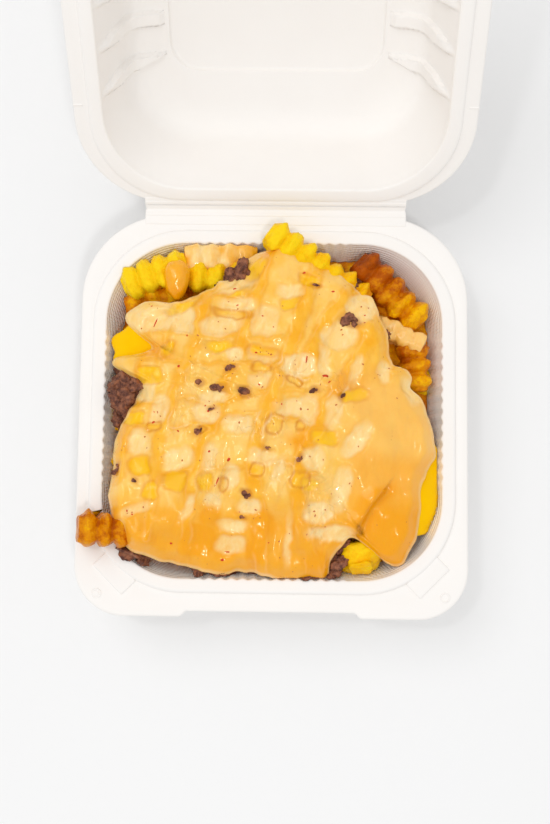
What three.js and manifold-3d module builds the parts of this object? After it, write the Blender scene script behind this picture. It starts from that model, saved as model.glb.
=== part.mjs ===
// Loaded fries in a hinged takeaway box: crinkle-cut fries under minced beef, cheese sauce and a drizzled
// chilli sauce, heaped in a square tray whose lid stands open behind it.
// Millimetres, +Z up, +Y towards the hinge. The origin is the middle of the tray's flat underside.

import * as THREE from 'three';
import { mergeVertices } from 'three/addons/utils/BufferGeometryUtils.js';
import Module from 'manifold-3d';

const wasm = await Module();
wasm.setup();

// Moulded box
const SHEET = 1.2;
const CORNER_STEPS = 8;
const FLANGE_HALF = 78;
const FLANGE_FRONT = -82.5;
const FLANGE_BACK = 79.4;
const FRONT_CORNER = 20;
const BACK_CORNER = 35;
const NOTCH_HALF = 33;
const NOTCH_DEPTH = 2.2;
const NOTCH_SLANT = 3;

// Tray
const TRAY_HEIGHT = 40;
const OPENING_HALF = 67.3;
const OPENING_CORNER = 32;
const FLOOR_HALF = 54.5;
const FLOOR_CORNER = 26;
const FLOOR_FILLET = 5;
const FILLET_BELLY = 1.5;
const BEAD_WIDTH = 5.7;
const BEAD_HEIGHT = 1.4;
const PAD_LENGTH = 16.5;
const PAD_WIDTH = 8;
const PAD_REACH = 90.2;
const PAD_SLIDE = 2.6;

// Hinge
const HINGE_Y = 81.6;
const HINGE_HALF = 53;
const HINGE_GAP = 0.15;
const STRIP_LENGTH = 5.6;
const STRIP_DROP = 0.15;

// Lid, stated as if laid out flat behind the tray: its mating plane is the bead's top
const LID_OPEN_DEG = 45.5;
const LID_DEPTH = 36;
const LID_OPENING_HALF_X = 66.5;
const LID_OPENING_HALF_Y = 72.7;
const LID_OPENING_CORNER = 31;
const CORNER_SHRINK = 0.54;
const ROOF_INSET = 22;
const PANEL_HALF_X = 43;
const PANEL_HALF_Y = 38.6;
const PANEL_CORNER = 10;
const PANEL_STEP = 1.2;
const RIBS_PER_SIDE = 5;
const RIB_PITCH = 17;
const RIB_HALF = 2.6;
const RIB_HEIGHT = 1.6;
const RIB_SINK = 0.6;
const LID_BEAD_GAP = 0.4;
const LID_BEAD_WIDTH = 5.6;

// How far in from the opening, and at what height, the lid's wall turns over its shoulder to the roof
const LID_SHOULDER = [[6.3, -27], [9.2, -32.4], [14.5, -35.3]];

// Food
const CLEAR = 0.35;
const BRIM_Z = 41;
const CROWN_Z = 59;
const HEAP_HALF = 67;
const HEAP_SQUARENESS = 4;
const HEAP_FALL = 2.4;
const LUMP_HEIGHT = 0.8;
const LUMP_PITCH = 31;
const HUMPS = [{ x: -60, y: -48, wide: 17, height: 6.5 }, { x: 4, y: 60, wide: 13, height: 5 }];
const CORE_DEPTH = 14.5;
const BEEF_DEPTH = 6.6;
const CHEESE_DEPTH = 3.8;
const COARSE_CELLS = 16;
const FINE_CELLS = 30;
const GRID_HALF = 74;
const EDGE_STEPS = 96;
const BELOW = -5;
const ABOVE = 90;

// Drizzle bands that lean to the right towards the back
const BAND_LEAN_DEG = 72;
const BAND_PITCH = 12.6;
const BAND_HEIGHT = 0.9;

// Crinkle-cut fries
const FRY_HALF = 6.1;
const CRINKLE_PITCH = 6.6;
const CRINKLE_DEPTH = 0.9;
const FILLER = {
  count: 15, seed: 20, reach: 52, reachSpread: 5, half: 12, halfSpread: 7, z: 21, zSpread: 5, swing: 1.2,
  rise: 2, size: 0.9, sizeSpread: 0.15,
};

// How far the sauce sheet reaches from the middle: compass angle in degrees, reach in millimetres
const SAUCE_REACH = [
  [0, 62.5], [11, 58], [18, 57], [23, 53], [37, 56.5], [50, 58.5], [66, 59], [80, 62.5], [88, 64.5],
  [98, 61.5], [108, 55], [121, 53], [133, 57], [141, 67], [149, 69], [154, 61], [160, 60], [164, 67],
  [168, 57], [180, 57.5], [191, 63], [203, 69], [213, 75.5], [220, 79], [230, 76.5], [244, 69.5],
  [257, 64.5], [273, 64.5], [283, 67.5], [289, 68], [294, 62], [300, 58], [305, 64], [311, 78],
  [318, 77], [325, 71.5], [332, 67], [346, 66.5],
];

// Where a layer comes out past the sauce, or stays further back: angle, half width in degrees, distance
const BEEF_LOBES = [
  [174, 9, 8.5], [218, 14, -20], [257, 6, 6.5], [293, 5, 7.5], [106, 8, 9], [62, 12, 4.5], [22, 9, 4],
];
const CHEESE_LOBES = [
  [157, 7, 12], [333, 15, 16], [312, 8, -6], [100, 30, -5], [218, 14, -20],
];
const BEEF_INSET = 3;
const CHEESE_INSET = 8;

// Fries that show: the middle of one end, the middle of the other, and the width against a full one
const SHOWN_FRIES = [
  { from: [-2, 70, 47], to: [36, 44, 39], size: 0.92 },
  { from: [34.5, 61, 35], to: [58.5, 36, 34], size: 1.02 },
  { from: [41, 37, 37], to: [60, 28.5, 36], size: 0.8 },
  { from: [57, 29, 29], to: [58, 10, 28], size: 0.9 },
  { from: [60, -4, 27], to: [61, -27, 28], size: 0.8 },
  { from: [34.5, -46, 27], to: [36.5, -61.5, 39], size: 1.1 },
  { from: [-44, -48.5, 38.5], to: [-74.5, -48.5, 47.8], size: 0.98 },
  { from: [-60.5, 50, 36], to: [-36, 59, 39], size: 1 },
  { from: [-38.5, 60, 45], to: [-41, 43, 42], size: 0.85 },
  { from: [-34, 53.5, 36], to: [-12, 52, 37], size: 1 },
  { from: [-36, 61.5, 37], to: [-8, 62.5, 35], size: 0.85 },
  { from: [-60, 42, 32], to: [-38, 47, 33], size: 0.9 },
  { from: [-59, 14, 28], to: [-60, -8, 29], size: 0.85 },
  { from: [-60, -17, 29], to: [-59, -40, 28], size: 0.9 },
];

// Turns a closed three.js geometry into a solid that can be joined and cut
function solidOf(geometry) {
  geometry.deleteAttribute('normal');
  geometry.deleteAttribute('uv');
  const merged = mergeVertices(geometry, 1e-4);
  return new wasm.Manifold(new wasm.Mesh({
    numProp: 3,
    vertProperties: new Float32Array(merged.attributes.position.array),
    triVerts: new Uint32Array(merged.index.array),
  }));
}

// Keeps the largest body of a solid, so that scraps a cut leaves behind are dropped
function largestBody(solid) {
  const bodies = solid.decompose();
  return bodies.reduce((best, body) => (body.volume() > best.volume() ? body : best));
}

function meshOf(name, solid, material) {
  const { vertProperties, triVerts } = largestBody(solid).getMesh();
  const geometry = new THREE.BufferGeometry();
  geometry.setAttribute('position', new THREE.BufferAttribute(vertProperties, 3));
  geometry.setIndex(new THREE.BufferAttribute(triVerts, 1));
  geometry.computeVertexNormals();
  const mesh = new THREE.Mesh(geometry, material);
  mesh.name = name;
  return mesh;
}

function finish(color, roughness) {
  return new THREE.MeshStandardMaterial({ color, roughness, metalness: 0 });
}

function seededRandom(seed) {
  let state = seed;
  return () => {
    state = (state * 1664525 + 1013904223) % 4294967296;
    return state / 4294967296;
  };
}

// A ring of points round a rectangle with rounded corners, at one height
function roundedRing(halfX, halfY, corner, z, middleY = 0) {
  const ring = [];
  for (let quarter = 0; quarter < 4; quarter += 1) {
    const sideX = quarter === 0 || quarter === 3 ? 1 : -1;
    const sideY = quarter < 2 ? 1 : -1;
    for (let step = 0; step <= CORNER_STEPS; step += 1) {
      const angle = (quarter + step / CORNER_STEPS) * Math.PI / 2;
      const x = sideX * (halfX - corner) + corner * Math.cos(angle);
      const y = middleY + sideY * (halfY - corner) + corner * Math.sin(angle);
      ring.push(new THREE.Vector3(x, y, z));
    }
  }
  return ring;
}

// A closed solid through a series of rings, with the first and the last filled by a fan
function loft(rings) {
  const count = rings[0].length;
  const points = rings.flat();
  const faces = [];
  for (let ring = 0; ring + 1 < rings.length; ring += 1) {
    for (let i = 0; i < count; i += 1) {
      const a = ring * count + i;
      const b = ring * count + (i + 1) % count;
      faces.push(a, b, b + count, a, b + count, a + count);
    }
  }
  [0, rings.length - 1].forEach((ring) => {
    const centre = points.length;
    const middle = rings[ring].reduce((sum, p) => sum.add(p), new THREE.Vector3()).divideScalar(count);
    points.push(middle);
    for (let i = 0; i < count; i += 1) {
      const a = ring * count + i;
      const b = ring * count + (i + 1) % count;
      faces.push(centre, ...(ring === 0 ? [b, a] : [a, b]));
    }
  });
  const geometry = new THREE.BufferGeometry().setFromPoints(points);
  geometry.setIndex(faces);
  const solid = solidOf(geometry);
  return solid.volume() > 0 ? solid : loft([...rings].reverse());
}

// A flat plate between two heights, from a shape seen from above
function plate(shape, low, high) {
  const geometry = new THREE.ExtrudeGeometry(shape, {
    depth: high - low, bevelEnabled: false, curveSegments: CORNER_STEPS,
  });
  geometry.translate(0, 0, low);
  return solidOf(geometry);
}

function block(lowX, highX, lowY, highY, lowZ, highZ) {
  const geometry = new THREE.BoxGeometry(highX - lowX, highY - lowY, highZ - lowZ);
  geometry.translate((lowX + highX) / 2, (lowY + highY) / 2, (lowZ + highZ) / 2);
  return solidOf(geometry);
}

function shapeOfRing(ring) {
  return new THREE.Shape(ring.map((p) => new THREE.Vector2(p.x, p.y)));
}

// The flange's outline: wide back corners beside the hinge, tighter front ones and a thumb notch
function flangeShape() {
  const shape = new THREE.Shape();
  const backX = FLANGE_HALF - BACK_CORNER;
  const frontX = FLANGE_HALF - FRONT_CORNER;
  const notchOut = NOTCH_HALF + NOTCH_SLANT;
  shape.moveTo(-frontX, FLANGE_FRONT);
  shape.lineTo(-notchOut, FLANGE_FRONT);
  shape.lineTo(-NOTCH_HALF, FLANGE_FRONT + NOTCH_DEPTH);
  shape.lineTo(NOTCH_HALF, FLANGE_FRONT + NOTCH_DEPTH);
  shape.lineTo(notchOut, FLANGE_FRONT);
  shape.absarc(frontX, FLANGE_FRONT + FRONT_CORNER, FRONT_CORNER, -Math.PI / 2, 0, false);
  shape.absarc(backX, FLANGE_BACK - BACK_CORNER, BACK_CORNER, 0, Math.PI / 2, false);
  shape.absarc(-backX, FLANGE_BACK - BACK_CORNER, BACK_CORNER, Math.PI / 2, Math.PI, false);
  shape.absarc(-frontX, FLANGE_FRONT + FRONT_CORNER, FRONT_CORNER, Math.PI, 1.5 * Math.PI, false);
  return shape;
}

// The tray's inner wall: half width and corner radius at a height, pulled in by a clearance
function cavityRings(clearance) {
  const floor = SHEET + clearance;
  const low = floor + FLOOR_FILLET;
  const top = TRAY_HEIGHT + (clearance ? CLEAR + SHEET : 0);
  const rise = (OPENING_HALF - FLOOR_HALF) / (TRAY_HEIGHT - SHEET - FLOOR_FILLET);
  const topHalf = OPENING_HALF + rise * (top - TRAY_HEIGHT) - clearance;
  const lowHalf = FLOOR_HALF - clearance;
  return [
    roundedRing(lowHalf - FLOOR_FILLET, lowHalf - FLOOR_FILLET, FLOOR_CORNER - FLOOR_FILLET, floor),
    roundedRing(lowHalf - FILLET_BELLY, lowHalf - FILLET_BELLY, FLOOR_CORNER - FILLET_BELLY,
      floor + FILLET_BELLY),
    roundedRing(lowHalf, lowHalf, FLOOR_CORNER, low),
    roundedRing(topHalf, topHalf, OPENING_CORNER - clearance, top),
  ];
}

// A rectangular lock pad set across a front corner, at the height of the bead
function lockPad(side, low, high) {
  const geometry = new THREE.BoxGeometry(PAD_LENGTH, PAD_WIDTH, high - low);
  geometry.rotateZ(side * Math.PI / 4);
  geometry.translate(side * (PAD_REACH - PAD_SLIDE) * Math.SQRT1_2, -(PAD_REACH + PAD_SLIDE) * Math.SQRT1_2,
    (low + high) / 2);
  return solidOf(geometry);
}

function makeTray(material) {
  const plateTop = TRAY_HEIGHT - BEAD_HEIGHT;
  const plateLow = plateTop - SHEET;
  const inside = cavityRings(0);
  const outside = [
    roundedRing(OPENING_HALF + SHEET, OPENING_HALF + SHEET, OPENING_CORNER + SHEET, TRAY_HEIGHT),
    roundedRing(FLOOR_HALF + SHEET, FLOOR_HALF + SHEET, FLOOR_CORNER + SHEET, SHEET + FLOOR_FILLET),
    roundedRing(FLOOR_HALF - FLOOR_FILLET / 2, FLOOR_HALF - FLOOR_FILLET / 2, FLOOR_CORNER, 0),
  ];
  const shell = loft([...inside, ...outside]);
  const hole = roundedRing(OPENING_HALF, OPENING_HALF, OPENING_CORNER, 0);
  const flange = flangeShape();
  flange.holes.push(shapeOfRing(hole));
  const beadHalf = OPENING_HALF + BEAD_WIDTH;
  const bead = shapeOfRing(roundedRing(beadHalf, beadHalf, OPENING_CORNER + BEAD_WIDTH, 0));
  bead.holes.push(shapeOfRing(hole));
  const stripTop = TRAY_HEIGHT - STRIP_DROP;
  const stripEnd = HINGE_Y - HINGE_GAP;
  return new THREE.Group().add(meshOf('box_tray', shell
    .add(plate(flange, plateLow, plateTop))
    .add(plate(bead, plateLow, TRAY_HEIGHT))
    .add(lockPad(-1, plateLow, TRAY_HEIGHT - SHEET / 2))
    .add(lockPad(1, plateLow, TRAY_HEIGHT - SHEET / 2))
    .add(block(-HINGE_HALF, HINGE_HALF, stripEnd - STRIP_LENGTH, stripEnd, plateLow, stripTop)), material));
}

// A rib that runs down one side wall of the lid and a little way over its roof, sunk into the sheet
function lidRib(side, y) {
  const path = [[0, -BEAD_HEIGHT], ...LID_SHOULDER, [ROOF_INSET, -LID_DEPTH]]
    .map(([inset, z]) => new THREE.Vector2(LID_OPENING_HALF_X - inset, z));
  return loft(path.map((point, index) => {
    const before = path[Math.max(0, index - 1)];
    const after = path[Math.min(path.length - 1, index + 1)];
    const along = after.clone().sub(before).normalize();
    const inward = new THREE.Vector2(along.y, -along.x);
    const foot = point.clone().addScaledVector(inward, -RIB_SINK);
    const crest = point.clone().addScaledVector(inward, RIB_HEIGHT);
    return [[foot, -RIB_HALF], [crest, 0], [foot, RIB_HALF]]
      .map(([at, across]) => new THREE.Vector3(side * at.x, y + across, at.y));
  }));
}

// The lid is built laid out flat with its hollow up, round the hinge axis, and then swung up
function makeLid(material) {
  const middle = HINGE_Y;
  const plateTop = -BEAD_HEIGHT;
  const plateLow = plateTop - SHEET;
  const ring = (inset, z, grow = 0) => roundedRing(
    LID_OPENING_HALF_X - inset + grow, LID_OPENING_HALF_Y - inset + grow,
    LID_OPENING_CORNER - CORNER_SHRINK * inset + grow, z, middle,
  );
  const panelRing = (shrink, z) => roundedRing(
    PANEL_HALF_X - shrink, PANEL_HALF_Y - shrink, PANEL_CORNER, z, middle,
  );
  const wall = [[0, -LID_BEAD_GAP], ...LID_SHOULDER, [ROOF_INSET, -LID_DEPTH]];
  const outerWall = wall.map(([inset, z], index) => {
    const [before, after] = [wall[index - 1], wall[index + 1]];
    const lean = before && after ? Math.atan2(after[0] - before[0], before[1] - after[1]) : index && Math.PI / 2;
    return ring(inset, z - SHEET * Math.sin(lean), SHEET * Math.cos(lean));
  });
  const shell = loft([
    panelRing(PANEL_STEP, -LID_DEPTH - PANEL_STEP),
    panelRing(0, -LID_DEPTH),
    ...wall.map(([inset, z]) => ring(inset, z)).reverse(),
    ...outerWall,
    panelRing(-SHEET, -LID_DEPTH - SHEET),
    panelRing(PANEL_STEP - SHEET, -LID_DEPTH - PANEL_STEP - SHEET),
  ]);
  const hole = ring(0, 0);
  const flange = new THREE.Shape(flangeShape().getPoints(CORNER_STEPS)
    .map((p) => new THREE.Vector2(p.x, middle - p.y)).reverse());
  flange.holes.push(shapeOfRing(hole));
  const bead = shapeOfRing(roundedRing(LID_OPENING_HALF_X + LID_BEAD_WIDTH,
    LID_OPENING_HALF_Y + LID_BEAD_WIDTH - SHEET, LID_OPENING_CORNER + LID_BEAD_WIDTH, 0, middle));
  bead.holes.push(shapeOfRing(hole));
  const strip = block(-HINGE_HALF, HINGE_HALF, HINGE_GAP, HINGE_GAP + STRIP_LENGTH, plateLow, -STRIP_DROP);
  const ribs = [];
  for (let rib = 0; rib < RIBS_PER_SIDE; rib += 1) {
    const y = middle + (rib - (RIBS_PER_SIDE - 1) / 2) * RIB_PITCH;
    ribs.push(lidRib(-1, y), lidRib(1, y));
  }
  const solid = ribs.reduce((sum, rib) => sum.add(rib), shell
    .add(plate(flange, plateLow, plateTop))
    .add(plate(bead, plateLow, -LID_BEAD_GAP))
    .add(strip));
  const mesh = meshOf('box_lid', solid, material);
  const hinge = new THREE.Group().add(mesh);
  hinge.position.set(0, HINGE_Y, TRAY_HEIGHT);
  hinge.rotation.x = THREE.MathUtils.degToRad(LID_OPEN_DEG);
  return hinge;
}

// The heap's smooth top: nearly level with the rim at the walls, crowned in the middle, and humped
// over the fries that lean out over the rim
function heapTop(x, y) {
  const away = (Math.abs(x / HEAP_HALF) ** HEAP_SQUARENESS
    + Math.abs(y / HEAP_HALF) ** HEAP_SQUARENESS) ** (1 / HEAP_SQUARENESS);
  const turn = 2 * Math.PI / LUMP_PITCH;
  const lump = Math.sin(turn * x + 1) * Math.cos(turn * y + 0.4) + 0.5 * Math.sin(turn * (x + y) * 1.4);
  const humps = HUMPS.reduce((sum, hump) => sum
    + hump.height * Math.exp(-(((x - hump.x) / hump.wide) ** 2) - ((y - hump.y) / hump.wide) ** 2), 0);
  const crown = (CROWN_Z - BRIM_Z) * (1 - away ** HEAP_FALL);
  return BRIM_Z + crown + LUMP_HEIGHT * lump + humps;
}

// Thick drizzle as long bands with hollows between them
function drizzle(x, y) {
  const lean = THREE.MathUtils.degToRad(BAND_LEAN_DEG);
  const across = x * Math.sin(lean) - y * Math.cos(lean) + 1.5 * Math.sin(y / 17);
  return BAND_HEIGHT * Math.cos(2 * Math.PI * across / BAND_PITCH);
}

// All that lies under a surface, on a grid of cells, down to well below the tray
function below(height, cells) {
  const geometry = new THREE.BoxGeometry(2 * GRID_HALF, 2 * GRID_HALF, 1, cells, cells, 1);
  const place = geometry.attributes.position;
  for (let i = 0; i < place.count; i += 1) {
    place.setZ(i, place.getZ(i) > 0 ? height(place.getX(i), place.getY(i)) : BELOW);
  }
  return solidOf(geometry);
}

// The reach of a puddle's edge at an angle, smoothly through its rows
function reachAt(rows, degrees) {
  const at = (index) => {
    const row = rows[(index + rows.length) % rows.length];
    return [row[0] + 360 * Math.floor(index / rows.length), row[1]];
  };
  const turned = ((degrees % 360) + 360) % 360;
  let next = rows.findIndex((row) => row[0] > turned);
  next = next < 0 ? rows.length : next;
  const [before, start, end, after] = [next - 2, next - 1, next, next + 1].map(at);
  const t = (turned - start[0]) / (end[0] - start[0]);
  const slopeIn = (end[1] - before[1]) / (end[0] - before[0]) * (end[0] - start[0]);
  const slopeOut = (after[1] - start[1]) / (after[0] - start[0]) * (end[0] - start[0]);
  return start[1] * (1 + 2 * t) * (1 - t) ** 2 + slopeIn * t * (1 - t) ** 2
    + end[1] * t * t * (3 - 2 * t) + slopeOut * t * t * (t - 1);
}

function withLobes(degrees, inset, lobes) {
  return lobes.reduce((reach, [at, wide, out]) => {
    const off = ((degrees - at + 540) % 360) - 180;
    return reach + (out + (out > 0 ? inset : 0)) * Math.exp(-((off / wide) ** 2));
  }, reachAt(SAUCE_REACH, degrees) - inset);
}

const EDGES = {
  sauce: (degrees) => reachAt(SAUCE_REACH, degrees),
  beef: (degrees) => withLobes(degrees, BEEF_INSET, BEEF_LOBES),
  cheese: (degrees) => withLobes(degrees, CHEESE_INSET, CHEESE_LOBES),
};

// Everything inside an edge seen from above, grown outwards by a clearance
function within(edge, grow) {
  const points = [];
  for (let step = 0; step < EDGE_STEPS; step += 1) {
    const degrees = step * 360 / EDGE_STEPS;
    const angle = THREE.MathUtils.degToRad(degrees);
    const reach = edge(degrees) + 2 * grow;
    points.push(new THREE.Vector2(reach * Math.cos(angle), reach * Math.sin(angle)));
  }
  return plate(new THREE.Shape(points), BELOW, ABOVE);
}

const level = (depth) => (x, y) => heapTop(x, y) - depth;
const sauceTop = (x, y) => heapTop(x, y) + drizzle(x, y);

// A layer between two surfaces and inside an edge, or that layer with a clearance all round it
function layer(edge, lowDepth, top, cells, grow = 0) {
  const roof = below((x, y) => top(x, y) + grow, cells);
  const floor = below(level(lowDepth + grow - CLEAR), COARSE_CELLS);
  return within(edge, grow).intersect(roof).subtract(floor);
}

const beefLayer = (grow) => layer(EDGES.beef, CORE_DEPTH, level(BEEF_DEPTH), COARSE_CELLS, grow);
const cheeseLayer = (grow) => layer(EDGES.cheese, BEEF_DEPTH, level(CHEESE_DEPTH), COARSE_CELLS, grow);

// The sauce is a sheet over everything, and sinks to the beef where no cheese lies between
function sauceSheet(grow) {
  const sheet = layer(EDGES.sauce, CHEESE_DEPTH, sauceTop, FINE_CELLS, grow);
  const sunk = layer(EDGES.beef, BEEF_DEPTH, level(CHEESE_DEPTH - 2 * CLEAR), COARSE_CELLS, grow);
  return sheet.add(sunk.intersect(within(EDGES.sauce, grow)).subtract(cheeseLayer(CLEAR)));
}

// The room that food may take: inside the tray's walls, or anywhere above the rim
function roomForFood() {
  const rim = block(-2 * FLANGE_HALF, 2 * FLANGE_HALF, -2 * FLANGE_HALF, 2 * FLANGE_HALF,
    TRAY_HEIGHT + CLEAR, ABOVE);
  return loft(cavityRings(CLEAR)).add(rim);
}

// One crinkle-cut fry along a line: square rings that swell and narrow in turn
function crinkleFry(from, to, size) {
  const start = new THREE.Vector3(...from);
  const along = new THREE.Vector3(...to).sub(start);
  const steps = 2 * Math.max(2, Math.round(along.length() / CRINKLE_PITCH));
  const side = new THREE.Vector3(-along.y, along.x, 0).normalize();
  const up = along.clone().cross(side).normalize().negate();
  const rings = [];
  for (let step = 0; step <= steps; step += 1) {
    const half = size * (FRY_HALF - (step % 2 ? 0 : CRINKLE_DEPTH));
    const middle = start.clone().addScaledVector(along, step / steps);
    rings.push([[1, 1], [1, -1], [-1, -1], [-1, 1]].map(([s, u]) => middle.clone()
      .addScaledVector(side, s * half).addScaledVector(up, u * half)));
  }
  return loft(rings);
}

// Fries that fill in round the walls where no shown one lies
function fillerFries() {
  const random = seededRandom(FILLER.seed);
  const fries = [];
  for (let i = 0; i < FILLER.count; i += 1) {
    const angle = 2 * Math.PI * (i + random()) / FILLER.count;
    const turn = angle + Math.PI / 2 + FILLER.swing * (random() - 0.5);
    const reach = FILLER.reach + FILLER.reachSpread * random();
    const half = FILLER.half + FILLER.halfSpread * random();
    const z = FILLER.z + FILLER.zSpread * random();
    const end = (sign) => [
      reach * Math.cos(angle) + sign * half * Math.cos(turn),
      reach * Math.sin(angle) + sign * half * Math.sin(turn),
      z + sign * FILLER.rise * (random() - 0.5),
    ];
    fries.push(crinkleFry(end(-1), end(1), FILLER.size + FILLER.sizeSpread * random()));
  }
  return fries;
}

function makeFood() {
  const room = roomForFood();
  const core = below(level(CORE_DEPTH), COARSE_CELLS);
  const shown = SHOWN_FRIES.map((fry) => crinkleFry(fry.from, fry.to, fry.size));
  const heap = [...shown, ...fillerFries()].reduce((sum, fry) => sum.add(fry), core);
  const toppings = beefLayer(CLEAR).add(cheeseLayer(CLEAR)).add(sauceSheet(CLEAR));
  return [
    meshOf('fries', heap.intersect(room).subtract(toppings), finish('#e8a81c', 0.55)),
    meshOf('beef', beefLayer(0).intersect(room), finish('#4a2a20', 0.6)),
    meshOf('cheese_sauce', cheeseLayer(0).intersect(room), finish('#f9b400', 0.3)),
    meshOf('chilli_sauce', sauceSheet(0).intersect(room), finish('#f6b45c', 0.3)),
  ];
}

const boxPlastic = finish('#f6f2ee', 0.45);
const loadedFries = new THREE.Group();
loadedFries.add(makeTray(boxPlastic), makeLid(boxPlastic), ...makeFood());

export default loadedFries;
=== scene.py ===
"""Loaded fries in a hinged takeaway box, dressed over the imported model.

Sizes are in millimetres, as in the part's source, and each mesh is scaled to metres when it becomes a piece.
"""

import math
import random

import bmesh
import bpy
import numpy as np
from mathutils import Matrix, Vector, geometry, noise


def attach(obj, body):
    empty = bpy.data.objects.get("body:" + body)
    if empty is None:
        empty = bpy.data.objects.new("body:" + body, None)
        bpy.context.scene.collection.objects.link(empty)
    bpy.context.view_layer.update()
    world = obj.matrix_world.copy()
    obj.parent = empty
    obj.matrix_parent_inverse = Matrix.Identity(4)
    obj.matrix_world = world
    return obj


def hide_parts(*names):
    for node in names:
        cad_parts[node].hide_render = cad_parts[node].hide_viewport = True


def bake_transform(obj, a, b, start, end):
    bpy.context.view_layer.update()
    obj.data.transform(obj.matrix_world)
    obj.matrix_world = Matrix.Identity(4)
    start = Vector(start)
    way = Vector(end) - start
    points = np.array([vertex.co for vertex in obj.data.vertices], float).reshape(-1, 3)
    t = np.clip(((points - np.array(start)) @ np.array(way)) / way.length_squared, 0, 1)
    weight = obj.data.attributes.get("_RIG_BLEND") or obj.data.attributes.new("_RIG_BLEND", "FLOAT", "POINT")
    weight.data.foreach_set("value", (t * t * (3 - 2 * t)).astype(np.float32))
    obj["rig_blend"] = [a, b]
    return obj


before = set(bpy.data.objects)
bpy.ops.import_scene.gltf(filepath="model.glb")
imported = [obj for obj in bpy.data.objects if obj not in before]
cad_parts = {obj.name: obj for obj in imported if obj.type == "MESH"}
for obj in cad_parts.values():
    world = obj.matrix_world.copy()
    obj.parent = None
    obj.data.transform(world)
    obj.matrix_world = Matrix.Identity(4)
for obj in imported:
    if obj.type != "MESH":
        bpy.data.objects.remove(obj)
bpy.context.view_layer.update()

MM = 0.001

# Vector noise draws its offsets at random unless it is seeded
noise.seed_set(4)

# Moulded box, as in the part's source
SHEET = 1.2
FLANGE_HALF = 78
FLANGE_FRONT = -82.5
FLANGE_BACK = 79.4
FRONT_CORNER = 20
BACK_CORNER = 35
NOTCH_HALF = 33
NOTCH_DEPTH = 2.2
NOTCH_SLANT = 3
TRAY_HEIGHT = 40
OPENING_HALF = 67.3
OPENING_CORNER = 32
FLOOR_HALF = 54.5
FLOOR_CORNER = 26
FLOOR_FILLET = 5
BEAD_HEIGHT = 1.4
PAD_LENGTH = 16.5
PAD_WIDTH = 8
PAD_REACH = 90.2
PAD_SLIDE = 2.6
HINGE_Y = 81.6
HINGE_HALF = 53
LID_OPEN_DEG = 45.5
LID_DEPTH = 36
LID_OPENING_HALF_X = 66.5
LID_OPENING_HALF_Y = 72.7
LID_OPENING_CORNER = 31
CORNER_SHRINK = 0.54
ROOF_INSET = 22
PANEL_HALF_X = 43
PANEL_HALF_Y = 38.6
PANEL_CORNER = 12
PANEL_STEP = 1.6
RIBS_PER_SIDE = 5
RIB_PITCH = 17

# Fine form of the box
RIM_RADIUS = 0.9
GROOVE_DEPTH = 0.15
FOOT_RECESS = 0.7
FLUTED_HALF = 33
FLUTE_DEPTH = 0.32
FLUTE_PITCH = 4.4
RIB_HEIGHT = 2.1
FLANGE_RING = (68.8, -73.7)
WEAVE_PITCH = 1.15
SHARP_DEG = 40
# Past each opening: how far out the bead's rows run, and their height
TRAY_BEAD = [(2.4, 39.88), (4.2, 40), (5, 39.88), (5.5, 39.5), (5.7, 39)]
LID_BEAD = [(2.6, -0.32), (4.3, -0.4), (5.1, -0.55), (5.5, -0.9), (5.7, -1.4), (6.1, -1.4)]
# How far in from the flange's edge its rounded rim runs, and how far below its top
FLANGE_RIM = [(2.6, 0), (1.1, 0), (0.5, 0.12), (0.12, 0.45), (0, SHEET), (2.5, SHEET)]
# The curve from the lid's wall over into its roof: how far in, and how high
LID_SHOULDER = [(6.3, -27, 0), (7.8, -33.3, 0), (13, -36, 0), (ROOF_INSET, -36, 0)]
# How far in from the roof panel's edge its step runs, and how far above the panel
PANEL_EDGE = [(1.2, 0), (0.8, 0.1), (0.4, 0.6), (0.1, 1.5), (-0.3, PANEL_STEP)]

# Columns along each straight side and round each corner of the box
SIDE_COLUMNS = 140
CORNER_COLUMNS = 28
BOX_COLUMNS = 4 * (SIDE_COLUMNS + CORNER_COLUMNS)

# Heap, as in the part's source
BRIM_Z = 41
CROWN_Z = 59
HEAP_HALF = 67
LUMP_HEIGHT = 0.8
LUMP_PITCH = 31
HUMPS = [(-60, -48, 17, 6.5), (4, 60, 13, 5)]
CORE_DEPTH = 14.5
CORE_REACH = 84
BEEF_DEPTH = 6.6
CHEESE_DEPTH = 3.8
CLEAR = 0.35
SAUCE_REACH = [
    (0, 62.5), (11, 58), (18, 57), (23, 53), (37, 56.5), (50, 58.5), (66, 59), (80, 62.5), (88, 64.5),
    (98, 61.5), (108, 55), (121, 53), (133, 57), (141, 67), (149, 69), (154, 61), (160, 60), (164, 67),
    (168, 57), (180, 57.5), (191, 63), (203, 69), (213, 75.5), (220, 79), (230, 76.5), (244, 69.5),
    (257, 64.5), (273, 64.5), (283, 67.5), (289, 68), (294, 62), (300, 58), (305, 64), (311, 78), (318, 77),
    (325, 71.5), (332, 67), (346, 66.5),
]
# The sauce's edge as it shows, with the bay at the left where cheese comes out from under it
SAUCE_EDGE = [row for row in SAUCE_REACH if 37 < row[0] < 140 or 180 < row[0] < 245 or row[0] > 320]
SAUCE_EDGE += [
    (0, 61), (4, 59), (9, 56), (13.5, 56), (16.5, 54), (19.5, 51), (23, 50.5), (28, 51.5), (37, 54.5),
    (141, 67), (147.4, 70), (150.2, 67.5), (152, 61), (153.5, 54), (156.5, 53), (160, 59.5), (162.5, 65.5),
    (165.3, 67), (167.2, 62), (169, 55.5), (172, 53.5), (176, 54.5), (249, 68.5), (254, 68), (261, 64.5),
    (269, 66), (276, 68.5), (284, 70.5), (288.5, 70), (291.5, 63), (295, 61), (299, 60.5), (303, 61.5),
    (305.3, 67), (307, 75), (309, 79.5), (312, 80.5), (317, 77.5),
]
SAUCE_EDGE.sort()
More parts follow.
